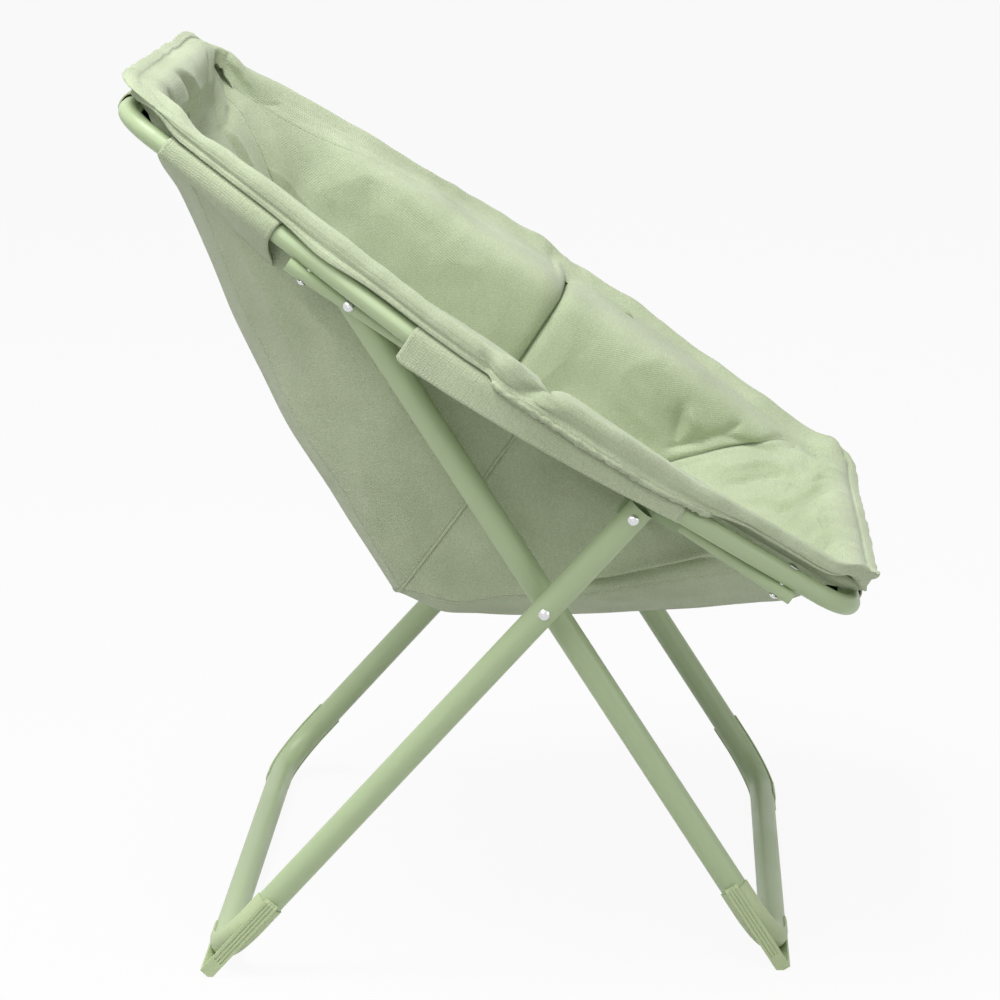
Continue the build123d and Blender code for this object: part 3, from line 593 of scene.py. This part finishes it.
# the outer part, from under the crest over the hem to the sleeve: outwards, up
side_edge = np.array([(6.0, 33.4), (9.0, 30.0), (10.5, 25.6), (10.4, 21.4), (8.3, 18.4), (9.7, 16.2),
                      (9.6, 13.4), (7.0, 12.1), (0.0, 12.1), (-7.0, 12.6)])
end_edge = np.array([(4.2, 31.2), (6.6, 33.0), (13.4, 33.2), (14.6, 31.8), (13.6, 30.0), (8.5, 28.0),
                     (6.6, 20.0), (7.5, 13.0), (0.0, 12.1), (-7.0, 12.6)])


def rim_crest(i):
    """The rim's crest at ring point i: outwards, up."""
    crest = RIM_HEIGHT - BAR_LOWER * on_bar[i] + WAVE * wave[i] * (1 - 0.4 * on_bar[i]) + RIPPLE * ripple[i]
    crest += KINK * kink[i] + CORNER_RISE * corner_low[i] - PILLOW_SINK * pillow[i] * (1 - on_bar[i])
    return CREST_OUT - FRONT_IN * at_front[i] - BAR_IN * on_bar[i], crest


def rim_inner(i, crest_a, crest_h):
    """The rim's inner part at ring point i, from the crest into the bowl, and the distances along it."""
    side = 1 - on_bar[i]
    reach = REACH + SIDE_REACH * side + PILLOW_REACH * pillow[i] + FRONT_REACH * at_front[i]
    fall = FALL + PILLOW_FALL * pillow[i] + FRONT_FALL * at_front[i]
    inwards = crest_a - depths
    # a round roll at the ends of the ring, a straight ramp down its sides
    share = rise(inwards, 0, reach)
    ramp = side * (1 - pillow[i])
    drop = (1 - ramp) * (1 - np.sqrt(1 - share ** 2)) + ramp * share ** 1.35
    line = np.where(share < 1, crest_h - fall * drop, FAR_DOWN)
    # the pillow swells more at the corners than along the bar
    swell = (4.0 + 5.0 * (1 - at_top[i])) * pillow[i]
    line += swell * np.sin(np.pi * rise(inwards, 0, PILLOW_REACH))
    # it runs into the bowl's own surface with a soft change
    line = 0.5 * (heights[i] + line + np.sqrt((heights[i] - line) ** 2 + ROLL_BLEND ** 2))
    path = np.column_stack([depths, line])[depths <= crest_a]
    walked = walk(path)
    length = INNER_LENGTH + STRAIGHT_LENGTH * straight[i] - BEND_LENGTH * bend[i]
    at = np.linspace(0, min(length, walked[-1]), FLANGE)
    return resampled(path, walked, at), at


def rim_outer(i, crest_h):
    """The points of the rim's outer part at ring point i."""
    edge = side_edge * (1 - on_bar[i]) + end_edge * on_bar[i]
    # along the front it leans in
    edge[:, 0] -= 4.5 * at_front[i] * rise(edge[:, 1], 13, 25)
    # its underside is raised at the corners and in front of the flaps, and its top follows the crest
    raised = 8.5 * corner_up[i] + 11.0 * corner_low[i] + 8.0 * front_gap[i]
    above = crest_h - RIM_HEIGHT + BAR_LOWER * on_bar[i]
    edge[:, 1] += raised * rise(edge[:, 1], 26, 14) + above * rise(edge[:, 1], 24, 33)
    # its outer face is uneven
    edge[:, 0] += (1.1 * ripple[i] + 1.2 * wave[i]) * rise(edge[:, 1], 14, 24) * rise(edge[:, 0], 0, 6)
    # the hem hangs over what lies under it, and draws in where nothing does
    hem = rise(edge[:, 1], 20, 15) * rise(edge[:, 0], 0, 6)
    edge[:, 0] += (LAP_OUT * lapped[i] + BOLT_OUT * rear_bolt[i] - 5.0 * front_gap[i]) * hem
    edge[:, 1] -= (LAP_DROP * lapped[i] + BOLT_DROP * rear_bolt[i]) * hem
    # the front corners are pulled in and up
    edge -= np.array([7.0, -3.0]) * corner_low[i] * rise(edge[:, :1], 3, 11)
    # the flared hem lies out and hangs a little
    flared = top_flare[i] * rise(edge[:, 1], 24, 30)
    edge[:, 1] -= 5.0 * flared * rise(edge[:, 0], 5, 13)
    edge[:, 0] += 9.0 * flared * rise(edge[:, 0], 0, 10)
    return edge


def rim_sections():
    """The rim's section at each ring point, and how strongly the pads' folds run on over its inner part."""
    outer_steps = EDGE_STEPS * len(side_edge)
    sections = np.zeros((len(ring_points), FLANGE + outer_steps, 2))
    strength = np.zeros((len(ring_points), FLANGE))
    for i in range(len(ring_points)):
        crest_a, crest_h = rim_crest(i)
        inner, walked = rim_inner(i, crest_a, crest_h)
        outer = spline(np.concatenate([inner[:1], rim_outer(i, crest_h)]), np.linspace(0, 1, outer_steps + 1))
        sections[i] = np.concatenate([inner[::-1], outer[1:]])
        strength[i] = rise(walked[::-1], 0, 6)
    return sections, strength


def rim_settling(grid):
    """How the rim's inner part moves to lie just on the pads, with its end run in under them."""
    shift = np.zeros(grid.shape)
    for i, j in np.ndindex(len(grid), int(SETTLED * FLANGE)):
        share = 1 - j / (FLANGE - 1)    # 0 at the crest, 1 at the end in the bowl
        spot, normal, _, gap = pads.find_nearest(Vector(grid[i, j]))
        into_bowl = Vector((0, 0.6 * spot.y, 60)) - spot
        normal = np.array(normal) * (1 if normal.dot(into_bowl) > 0 else -1)
        lift = (grid[i, j] - np.array(spot)) @ normal
        highest = REST_LIFT + CLIMB * max(0.0, CLIMB_FROM - share)
        target = min(max(lift, REST_LIFT), highest) - TUCK * max(0.0, share - TUCK_FROM)
        if gap < abs(lift) + 1:         # past the pads' own edge there is nothing to lie on
            shift[i, j] = normal * min(max(target - lift, DEEPEST), HIGHEST)
    around_bends = bend[:, None, None]
    return evened(shift, 2) * (1 - around_bends) + evened(shift, 5) * around_bends


def creased(grid, strength):
    """The rim's grid with folds pressed into it, settled on the pads."""
    across = np.roll(grid, -1, 1) - np.roll(grid, 1, 1)
    along = np.roll(grid, -1, 0) - np.roll(grid, 1, 0)
    out = np.cross(across, along)
    out /= np.maximum(np.linalg.norm(out, axis=2), 1e-9)[..., None]
    if ((grid - grid.mean(1, keepdims=True)) * out).sum() < 0:
        out = -out
    height = all_folds(grid, out, rim_folds, 7)
    height[:, :FLANGE] += all_folds(grid, out, back_folds + seat_folds, CREASE_REACH)[:, :FLANGE] * strength
    grid = grid + out * height[..., None]
    return grid + rim_settling(grid)


sections, strength = rim_sections()
rim_grid = creased(swept_grid(ring_points, ring_normals, sections), strength)
rim = tube_object("rim_padding", rim_grid, closed=True)
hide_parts("cover_rim")
cover_pieces.append(rim)


# ---- sleeves and flaps: single cloth over the ring ----
OVER_TUBE = [(2.0, 12.3), (7.4, 10.6), (11.6, 5.0)]
SLEEVE_FROM, SLEEVE_TO = 352, 224
FLAP_FROM, FLAP_TO = 76, -211
BAR_ROWS = 90
STRIP_COLUMNS = 26


def ring_stretch(y_from, y_to, side):
    """Points and outward normals along one side of the ring, downwards from y_from."""
    keep = [(p, n) for p, n in zip(ring_points, ring_normals)
            if p[0] * side > 0 and y_to <= p[1] <= y_from and abs(n[1]) < 0.9]
    keep.sort(key=lambda row: -row[0][1])
    return np.array([p for p, _ in keep]), np.array([n for _, n in keep])


def cloth_strip(name, node, points, normals, lines):
    """A strip of hemmed cloth, whose outer line at each point is one of lines; gives its outer face."""
    rows = []
    for line in lines:
        outer = spline(line, np.linspace(0, 1, STRIP_COLUMNS))
        run = np.gradient(outer, axis=0)
        run /= np.linalg.norm(run, axis=1)[:, None]
        back = outer + np.column_stack([run[:, 1], -run[:, 0]]) * CLOTH
        rows.append(np.concatenate([outer, back[::-1]]))
    grid = swept_grid(points, normals, np.array(rows))
    strip = tube_object(name, grid)
    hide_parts(node)
    face = grid[:, :STRIP_COLUMNS]
    across, along = walk_grid(face, 1)[:, -1].mean(), walk_grid(face, 0)[-1].mean()
    strips.append((strip, (across / 1000, along / 1000)))
    return face


def side_sleeve_line(point, normal):
    """From over the tube down to the cover's wall, further down towards the sleeve's lower end."""
    share = (SLEEVE_FROM - point[1]) / (SLEEVE_FROM - SLEEVE_TO)
    low = -12.0 - 24.0 * share ** 0.8
    slack = 0.6 * uneven(point, 30.0, 25.0)
    wall = wall_beside(point, normal, low) + 0.6
    return OVER_TUBE + [(12.4 + slack, -2.0), (10.6 + slack, -8.0), (wall, low)]


def bar_sleeve_line(point, normal):
    low = -17.0 + 1.2 * uneven(point, 30.0, 40.0)
    return OVER_TUBE + [(12.2, -2.0), (9.5, -9.0), (wall_beside(point, normal, low) + 0.6, low)]


def flap_line(point, _):
    """From over the tube down, shorter and curled out towards the flap's lower end."""
    walked = FLAP_FROM - point[1]
    share = min(1.0, max(0.0, walked / (FLAP_FROM - FLAP_TO)))
    rounded = max(0.0, 1 - walked / 7.0)
    drop = 25.0 - 18.0 * share - 5.0 * rounded ** 2
    curl = 2.2 * share ** 2 + 0.9 * uneven(point, 60.0, 30.0)
    return [(1.5, 12.4), (7.0, 10.9), (11.0, 6.0), (12.2 + 0.3 * curl, -1.0),
            (12.2 + 0.7 * curl, -0.55 * drop), (12.0 + curl, -drop)]


def bar_stretch(y, half):
    """Points and outward normals along the top or front bar."""
    x = np.linspace(-half, half, BAR_ROWS)
    return np.column_stack([x, np.full(BAR_ROWS, y)]), np.tile([0.0, math.copysign(1, y)], (BAR_ROWS, 1))


strip_plans = []
for name, side in SIDES:
    stretch = ring_stretch(SLEEVE_FROM, SLEEVE_TO, side)
    strip_plans.append(("side_channel_" + name, "cover_side_sleeve_" + name, stretch, side_sleeve_line))
for name, y, half in (("top", HALF_LENGTH, 150.0), ("front", -HALF_LENGTH, 190.0)):
    strip_plans.append((name + "_channel", "cover_%s_sleeve" % name, bar_stretch(y, half), bar_sleeve_line))
for name, side in SIDES:
    stretch = ring_stretch(FLAP_FROM, FLAP_TO, side)
    strip_plans.append(("side_flap_" + name, "cover_flap_" + name, stretch, flap_line))
strip_faces = []
for name, node, (points, normals), line_for in strip_plans:
    lines = [line_for(p, n) for p, n in zip(points, normals)]
    strip_faces.append(cloth_strip(name, node, points, normals, lines))


# ---- sewing: bound and welted seams, and the stitches ----
WELT_SIDES = 10
SEAM_POINTS = 120
SEAM_STITCH = 4.2             # the stitches lie this far beside the cross seam
STITCH_SIZE = (1.35, 0.42, 0.34)        # half lengths along the seam, across it and out from it
STITCH_STEP = 3.6
FIRST_STITCH = 2.0            # from a line's ends
RIM_HEM, RIM_GROOVE = 43, 59            # columns of the rim's grid that are stitched


def beside_surface(points, lift):
    """Points moved onto the cover's outside, and lift out from it, with the outward directions."""
    moved, out = [], []
    for p in points:
        place, normal, _, _ = surface.find_nearest(Vector(p))
        away = Vector((p[0], 0, -160))
        normal = normal if normal.dot(away) > 0 else -normal
        moved.append(place + normal * lift)
        out.append(normal)
    return np.array(moved), np.array(out)


def welt(name, points, radius, rough=0.0):
    """A corded seam: a thin padded roll along points, thin at its ends; rough makes it frayed."""
    points = np.array(points, float)
    run = np.gradient(points, axis=0)
    run /= np.linalg.norm(run, axis=1)[:, None]
    side = np.cross(run, (0, 0, 1.0))
    side /= np.linalg.norm(side, axis=1)[:, None]
    up = np.cross(side, run)
    grid = np.zeros((len(points), WELT_SIDES, 3))
    for i, p in enumerate(points):
        r = radius * (0.35 if i in (0, len(points) - 1) else 1.0)
        for j, angle in enumerate(np.linspace(0, 2 * math.pi, WELT_SIDES, endpoint=False)):
            bump = rough * noise.noise(Vector((p[0], p[1], p[2] + 40 * j)) / 2.6)
            grid[i, j] = p + (side[i] * math.cos(angle) + up[i] * math.sin(angle)) * r * (1 + bump)
    cover_pieces.append(tube_object(name, grid))


def cross_seam_line():
    """The cross seam's line on the smooth cover, from rim to rim."""
    points, walked, _ = half_section(SEAM_ACROSS)
    x, h = resampled(points, walked, np.linspace(0, walked[-1] - 6, SEAM_POINTS)).T
    half = np.column_stack([x, np.full(SEAM_POINTS, SEAM_ACROSS), h])
    return np.concatenate([half[:0:-1] * (-1, 1, 1), half])


def rim_underside(side):
    """A line along the hem under one side's rim, over the flap."""
    keep = [i for i, (x, y) in enumerate(ring_points) if x * side > 0 and -232 < y < -2]
    keep.sort(key=lambda i: -ring_y[i])
    places = [ring_points[i] + ring_normals[i] * (9.9 + 4.4 * lapped[i]) for i in keep]
    return [(x, y, 13.2 - LAP_DROP * lapped[i]) for (x, y), i in zip(places, keep)]


cross_seam = cross_seam_line()
welt("cross_seam_welt", beside_surface(cross_seam, 0.4)[0], 1.7)
for name, side in SIDES:
    welt("frayed_binding_" + name, rim_underside(side), 2.7, 0.9)

bpy.ops.mesh.primitive_ico_sphere_add(subdivisions=1, radius=1.0)
stitch = bpy.context.object
stitch_points = np.array([tuple(v.co) for v in stitch.data.vertices]) * STITCH_SIZE
stitch_faces = [tuple(f.vertices) for f in stitch.data.polygons]
bpy.data.objects.remove(stitch)


def stitching(name, lines):
    """Lock stitches of thread along lines of (points, outward directions)."""
    corners, faces = [], []
    for points, out in lines:
        points, out = np.array(points, float), np.array(out, float)
        walked = walk(points)
        at = np.arange(FIRST_STITCH, walked[-1] - FIRST_STITCH, STITCH_STEP)
        places = resampled(points, walked, at)
        ahead = resampled(points, walked, at + 0.5) - places
        for p, t, n in zip(places, ahead, resampled(out, walked, at)):
            t = t / (np.linalg.norm(t) + 1e-9)
            n = n - t * (n @ t)
            n /= np.linalg.norm(n) + 1e-9
            turned = stitch_points @ np.array([t, np.cross(n, t), n])
            faces += [tuple(k + len(corners) for k in f) for f in stitch_faces]
            corners += list(p + n * 0.1 + turned)
    thread_pieces.append(cloth_object(name, seat(np.array(corners)), faces))


def grid_line(grid, column):
    """A column of a swept grid, with its outward directions."""
    out = np.cross(np.gradient(grid, axis=1)[:, column], np.gradient(grid, axis=0)[:, column])
    return grid[:, column], out / np.linalg.norm(out, axis=1)[:, None]


def hem_lines():
    """Three lines on each sleeve and flap: beside both ends and along the lower edge."""
    lines = []
    for face in strip_faces:
        turned = face.transpose(1, 0, 2)
        for row in (1, len(face) - 2):
            points, out = grid_line(turned, row)
            lines.append((points[2:-1], -out[2:-1]))
        points, out = grid_line(face, STRIP_COLUMNS - 3)
        lines.append((points[2:-2], out[2:-2]))
    return lines


def seam_lines():
    """A line on each side of every seam on the cover's outside."""
    lines = [beside_surface(cross_seam[3:-3] + (0, offset, 0), 0.0) for offset in (-SEAM_STITCH, SEAM_STITCH)]
    for outside in outsides.values():
        away = -grid_normals(outside)
        for seam in SEAM_COLUMNS:
            for column in (seam - 1, seam + 1):
                lines.append((outside[8:-3, column], away[8:-3, column]))
    return lines


around = np.concatenate([rim_grid, rim_grid[:1]])
stitching("rim_stitching", [grid_line(around, RIM_HEM), grid_line(around, RIM_GROOVE)])
stitching("hem_stitching", hem_lines())
stitching("seam_stitching", seam_lines())


# ---- materials ----
def linear(code):
    """An sRGB hex colour as linear RGBA."""
    values = [int(code[i:i + 2], 16) / 255 for i in (0, 2, 4)]
    return tuple(v / 12.92 if v <= 0.04045 else ((v + 0.055) / 1.055) ** 2.4 for v in values) + (1.0,)


def add(tree, kind, settings=None, links=None):
    """Adds a shader node, sets its properties and sockets, and links its inputs to other nodes' outputs."""
    made = tree.nodes.new(kind)
    for key, value in (settings or {}).items():
        if isinstance(key, str) and hasattr(made, key):
            setattr(made, key, value)
        else:
            made.inputs[key].default_value = value
    for key, (source, output) in (links or {}).items():
        tree.links.new(source.outputs[output], made.inputs[key])
    return made


def new_material(name):
    material = bpy.data.materials.new(name)
    material.use_nodes = True
    material.node_tree.nodes.clear()
    return material, material.node_tree


def bands(spacing):
    """The scale of a wave texture on metres whose bands are spacing mm apart."""
    return float(round(math.pi * 100 / spacing))


def woven_polyester(name, light, dark, rib=0.0):
    """Piece-dyed polyester canvas over padding: matt, with a faint nap and a fine plain weave."""
    material, tree = new_material(name)
    on_cloth = {"Vector": (add(tree, "ShaderNodeUVMap", {"uv_map": "cloth"}), "UV")}
    in_space = {"Vector": (add(tree, "ShaderNodeTexCoord"), "Object")}
    # threads are 0.5 mm apart; drawn at 2.4 mm so that they show
    yarn = {"Scale": bands(2.4), "Distortion": 1.4, "Detail": 1.0, "Detail Scale": 2.0}
    warp = add(tree, "ShaderNodeTexWave", {"bands_direction": "X", **yarn}, on_cloth)
    weft = add(tree, "ShaderNodeTexWave", {"bands_direction": "Y", **yarn}, on_cloth)
    weave = add(tree, "ShaderNodeMath", {"operation": "MULTIPLY"}, {0: (warp, "Fac"), 1: (weft, "Fac")})
    height = weave
    if rib:
        # a raised rib every 3.6 mm
        cord = {"bands_direction": "Y", "Scale": bands(3.6), "Distortion": 0.0}
        ribs = add(tree, "ShaderNodeTexWave", cord, on_cloth)
        height = add(tree, "ShaderNodeMath", {"operation": "MULTIPLY_ADD", 1: rib},
                     {0: (ribs, "Fac"), 2: (weave, "Value")})
    # handling shades the dye in patches of about 110 mm, and the nap in specks of 2 mm
    cloud = add(tree, "ShaderNodeTexNoise", {"Scale": 9.0, "Detail": 3.0, "Roughness": 0.55}, in_space)
    speck = add(tree, "ShaderNodeTexNoise", {"Scale": 520.0, "Detail": 2.0, "Roughness": 0.7}, in_space)
    mixed = add(tree, "ShaderNodeMath", {"operation": "MULTIPLY_ADD", 1: 0.9},
                {0: (speck, "Fac"), 2: (cloud, "Fac")})
    spread = add(tree, "ShaderNodeMapRange", {"From Min": 0.65, "From Max": 1.25},
                 {"Value": (mixed, "Value")})
    colour = add(tree, "ShaderNodeMix", {"data_type": "RGBA", 6: linear(dark), 7: linear(light)},
                 {0: (spread, "Result")})
    bump = add(tree, "ShaderNodeBump", {"Strength": 0.4, "Distance": 0.0009}, {"Height": (height, "Value")})
    nap = {"Roughness": 0.88, "Specular IOR Level": 0.25, "Sheen Weight": 0.25, "Sheen Roughness": 0.5}
    skin = add(tree, "ShaderNodeBsdfPrincipled", nap, {"Base Color": (colour, 2), "Normal": (bump, "Normal")})
    add(tree, "ShaderNodeOutputMaterial", links={"Surface": (skin, "BSDF")})
    return material


def spun_thread(name, colour):
    """Spun polyester sewing thread: matt and slightly fuzzy, a shade lighter than the cloth."""
    material, tree = new_material(name)
    in_space = {"Vector": (add(tree, "ShaderNodeTexCoord"), "Object")}
    # plies are 0.25 mm apart; drawn at 0.8 mm so that they show
    ply = add(tree, "ShaderNodeTexNoise", {"Scale": 1200.0, "Detail": 1.0}, in_space)
    bump = add(tree, "ShaderNodeBump", {"Strength": 0.4, "Distance": 0.0002}, {"Height": (ply, "Fac")})
    fuzz = {"Base Color": linear(colour), "Roughness": 0.75, "Sheen Weight": 0.3}
    skin = add(tree, "ShaderNodeBsdfPrincipled", fuzz, {"Normal": (bump, "Normal")})
    add(tree, "ShaderNodeOutputMaterial", links={"Surface": (skin, "BSDF")})
    return material


def powder_coat(name, colour):
    """Powder coat on steel: semi-gloss, with the faint orange peel of melted powder."""
    material, tree = new_material(name)
    in_space = {"Vector": (add(tree, "ShaderNodeTexCoord"), "Object")}
    # orange peel about 1.1 mm wide
    peel = add(tree, "ShaderNodeTexNoise", {"Scale": 900.0, "Detail": 2.0}, in_space)
    cloud = add(tree, "ShaderNodeTexNoise", {"Scale": 14.0, "Detail": 2.0}, in_space)
    gloss = {"From Min": 0.3, "From Max": 0.7, "To Min": 0.36, "To Max": 0.46}
    shade = add(tree, "ShaderNodeMapRange", gloss, {"Value": (cloud, "Fac")})
    bump = add(tree, "ShaderNodeBump", {"Strength": 0.12, "Distance": 0.0003}, {"Height": (peel, "Fac")})
    skin = add(tree, "ShaderNodeBsdfPrincipled", {"Base Color": linear(colour), "IOR": 1.5},
               {"Roughness": (shade, "Result"), "Normal": (bump, "Normal")})
    add(tree, "ShaderNodeOutputMaterial", links={"Surface": (skin, "BSDF")})
    return material


def moulded_plastic(name, colour):
    """Injection-moulded polypropylene: a low sheen over a fine spark-eroded grain."""
    material, tree = new_material(name)
    in_space = {"Vector": (add(tree, "ShaderNodeTexCoord"), "Object")}
    # a mould grain of 0.1 mm; drawn at 0.7 mm so that it shows
    grain = add(tree, "ShaderNodeTexNoise", {"Scale": 1500.0, "Detail": 2.0}, in_space)
    bump = add(tree, "ShaderNodeBump", {"Strength": 0.15, "Distance": 0.0002}, {"Height": (grain, "Fac")})
    polypropylene = {"Base Color": linear(colour), "Roughness": 0.5, "IOR": 1.49}
    skin = add(tree, "ShaderNodeBsdfPrincipled", polypropylene, {"Normal": (bump, "Normal")})
    add(tree, "ShaderNodeOutputMaterial", links={"Surface": (skin, "BSDF")})
    return material


def bright_plate(name, colour):
    """Nickel-plated steel rivet: mirror-like, with light tumbling marks."""
    material, tree = new_material(name)
    in_space = {"Vector": (add(tree, "ShaderNodeTexCoord"), "Object")}
    # marks about 2.5 mm long
    marks = add(tree, "ShaderNodeTexNoise", {"Scale": 400.0, "Detail": 3.0}, in_space)
    shade = add(tree, "ShaderNodeMapRange", {"To Min": 0.12, "To Max": 0.28}, {"Value": (marks, "Fac")})
    skin = add(tree, "ShaderNodeBsdfPrincipled", {"Base Color": linear(colour), "Metallic": 1.0},
               {"Roughness": (shade, "Result")})
    add(tree, "ShaderNodeOutputMaterial", links={"Surface": (skin, "BSDF")})
    return material


canvas = woven_polyester("padded_polyester_canvas", "c4cfb0", "a5b190")
ribbed = woven_polyester("ribbed_polyester_canvas", "c0cbac", "a0ac8b", 0.3)
thread = spun_thread("polyester_sewing_thread", "c6cfb4")
coat = powder_coat("powder_coated_tube", "b0c298")
bracket_coat = powder_coat("powder_coated_bracket", "a6b98f")
cap_plastic = moulded_plastic("moulded_foot_plastic", "bccb9f")
plate = bright_plate("plated_rivet", "d9dadb")


def finish(piece, material):
    piece.data.materials.clear()
    piece.data.materials.append(material)


for piece in cover_pieces:
    finish(piece, canvas)
    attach(piece, "seat")
for piece, cut in strips:
    finish(piece, ribbed)
    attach(piece, "seat")
for piece in thread_pieces:
    finish(piece, thread)
    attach(piece, "seat")

node_finish = {"frame_paint": coat, "bracket_paint": bracket_coat, "foot_plastic": cap_plastic,
               "rivet_chrome": plate}
for entry in frame["record"]["subparts"]:
    material = node_finish.get(entry["material_slot"])
    if material:
        solid = frame["nodes"][entry["node"]]
        for i in range(len(solid.material_slots)):
            solid.material_slots[i].material = material


# ---- studio ----
FLOOR_GREY = "d0d0d0"
FLOOR_GLOW = 0.93             # how much of the floor the camera sees as plain white
ROOM_LIGHT = 0.34
WHITE = (1, 1, 1, 1)


def either_ray(tree, first, second):
    return add(tree, "ShaderNodeMath", {"operation": "MAXIMUM"}, {0: first, 1: second})


bpy.ops.mesh.primitive_plane_add(size=30, location=(0, 0, -0.0005))
floor = bpy.context.object
floor.name = "studio_floor"
material, tree = new_material("pale_floor")
rays = add(tree, "ShaderNodeLightPath")
seen = either_ray(tree, (rays, "Is Camera Ray"), (rays, "Is Glossy Ray"))
glow = add(tree, "ShaderNodeEmission", {"Strength": 1.0})
matt = add(tree, "ShaderNodeBsdfDiffuse", {"Color": linear(FLOOR_GREY)})
share = add(tree, "ShaderNodeMath", {"operation": "MULTIPLY", 1: FLOOR_GLOW}, {0: (seen, "Value")})
blend = add(tree, "ShaderNodeMixShader",
            links={0: (share, "Value"), 1: (matt, "BSDF"), 2: (glow, "Emission")})
add(tree, "ShaderNodeOutputMaterial", links={"Surface": (blend, "Shader")})
floor.data.materials.append(material)

world = bpy.data.worlds.new("studio_world")
bpy.context.scene.world = world
world.use_nodes = True
tree = world.node_tree
tree.nodes.clear()
rays = add(tree, "ShaderNodeLightPath")
seen = either_ray(tree, (rays, "Is Camera Ray"), (rays, "Is Glossy Ray"))
seen = either_ray(tree, (seen, "Value"), (rays, "Is Transmission Ray"))
room = add(tree, "ShaderNodeBackground", {"Color": WHITE, "Strength": ROOM_LIGHT})
backdrop = add(tree, "ShaderNodeBackground", {"Color": WHITE, "Strength": 1.0})
sky = add(tree, "ShaderNodeMixShader",
          links={0: (seen, "Value"), 1: (room, "Background"), 2: (backdrop, "Background")})
add(tree, "ShaderNodeOutputWorld", links={"Surface": (sky, "Shader")})


def softbox(name, place, aim, size, power):
    lamp = bpy.data.lights.new(name, "AREA")
    lamp.shape = "DISK"
    lamp.size = size
    lamp.energy = power
    box = bpy.data.objects.new(name, lamp)
    box.location = place
    box.rotation_euler = (Vector(aim) - Vector(place)).to_track_quat("-Z", "Y").to_euler()
    bpy.context.scene.collection.objects.link(box)


softbox("top_softbox", (-0.4, 0.7, 3.3), (0, 0, 0.5), 1.5, 80)
softbox("camera_softbox", (-2.3, 1.1, 2.7), (0, 0, 0.4), 2.6, 38)
softbox("front_softbox", (-1.6, -3.0, 1.2), (0, 0, 0.4), 1.6, 13)

# the camera, as solved from the photograph
CAMERA_PLACE = (-3.5087, -0.1489, 1.2116)
CAMERA_RIGHT = (0.0447, -0.9990, 0.0)
CAMERA_AHEAD = (0.9721, 0.0437, -0.2307)
camera_data = bpy.data.cameras.new("photo_camera")
camera_data.lens = 132.34
camera_data.sensor_width = 36.0
camera = bpy.data.objects.new("photo_camera", camera_data)
bpy.context.scene.collection.objects.link(camera)
right, ahead = Vector(CAMERA_RIGHT).normalized(), Vector(CAMERA_AHEAD).normalized()
turn = Matrix((right, right.cross(ahead), -ahead)).transposed().to_4x4()
camera.matrix_world = Matrix.Translation(CAMERA_PLACE) @ turn
bpy.context.scene.camera = camera
bpy.context.scene.view_settings.view_transform = "Standard"
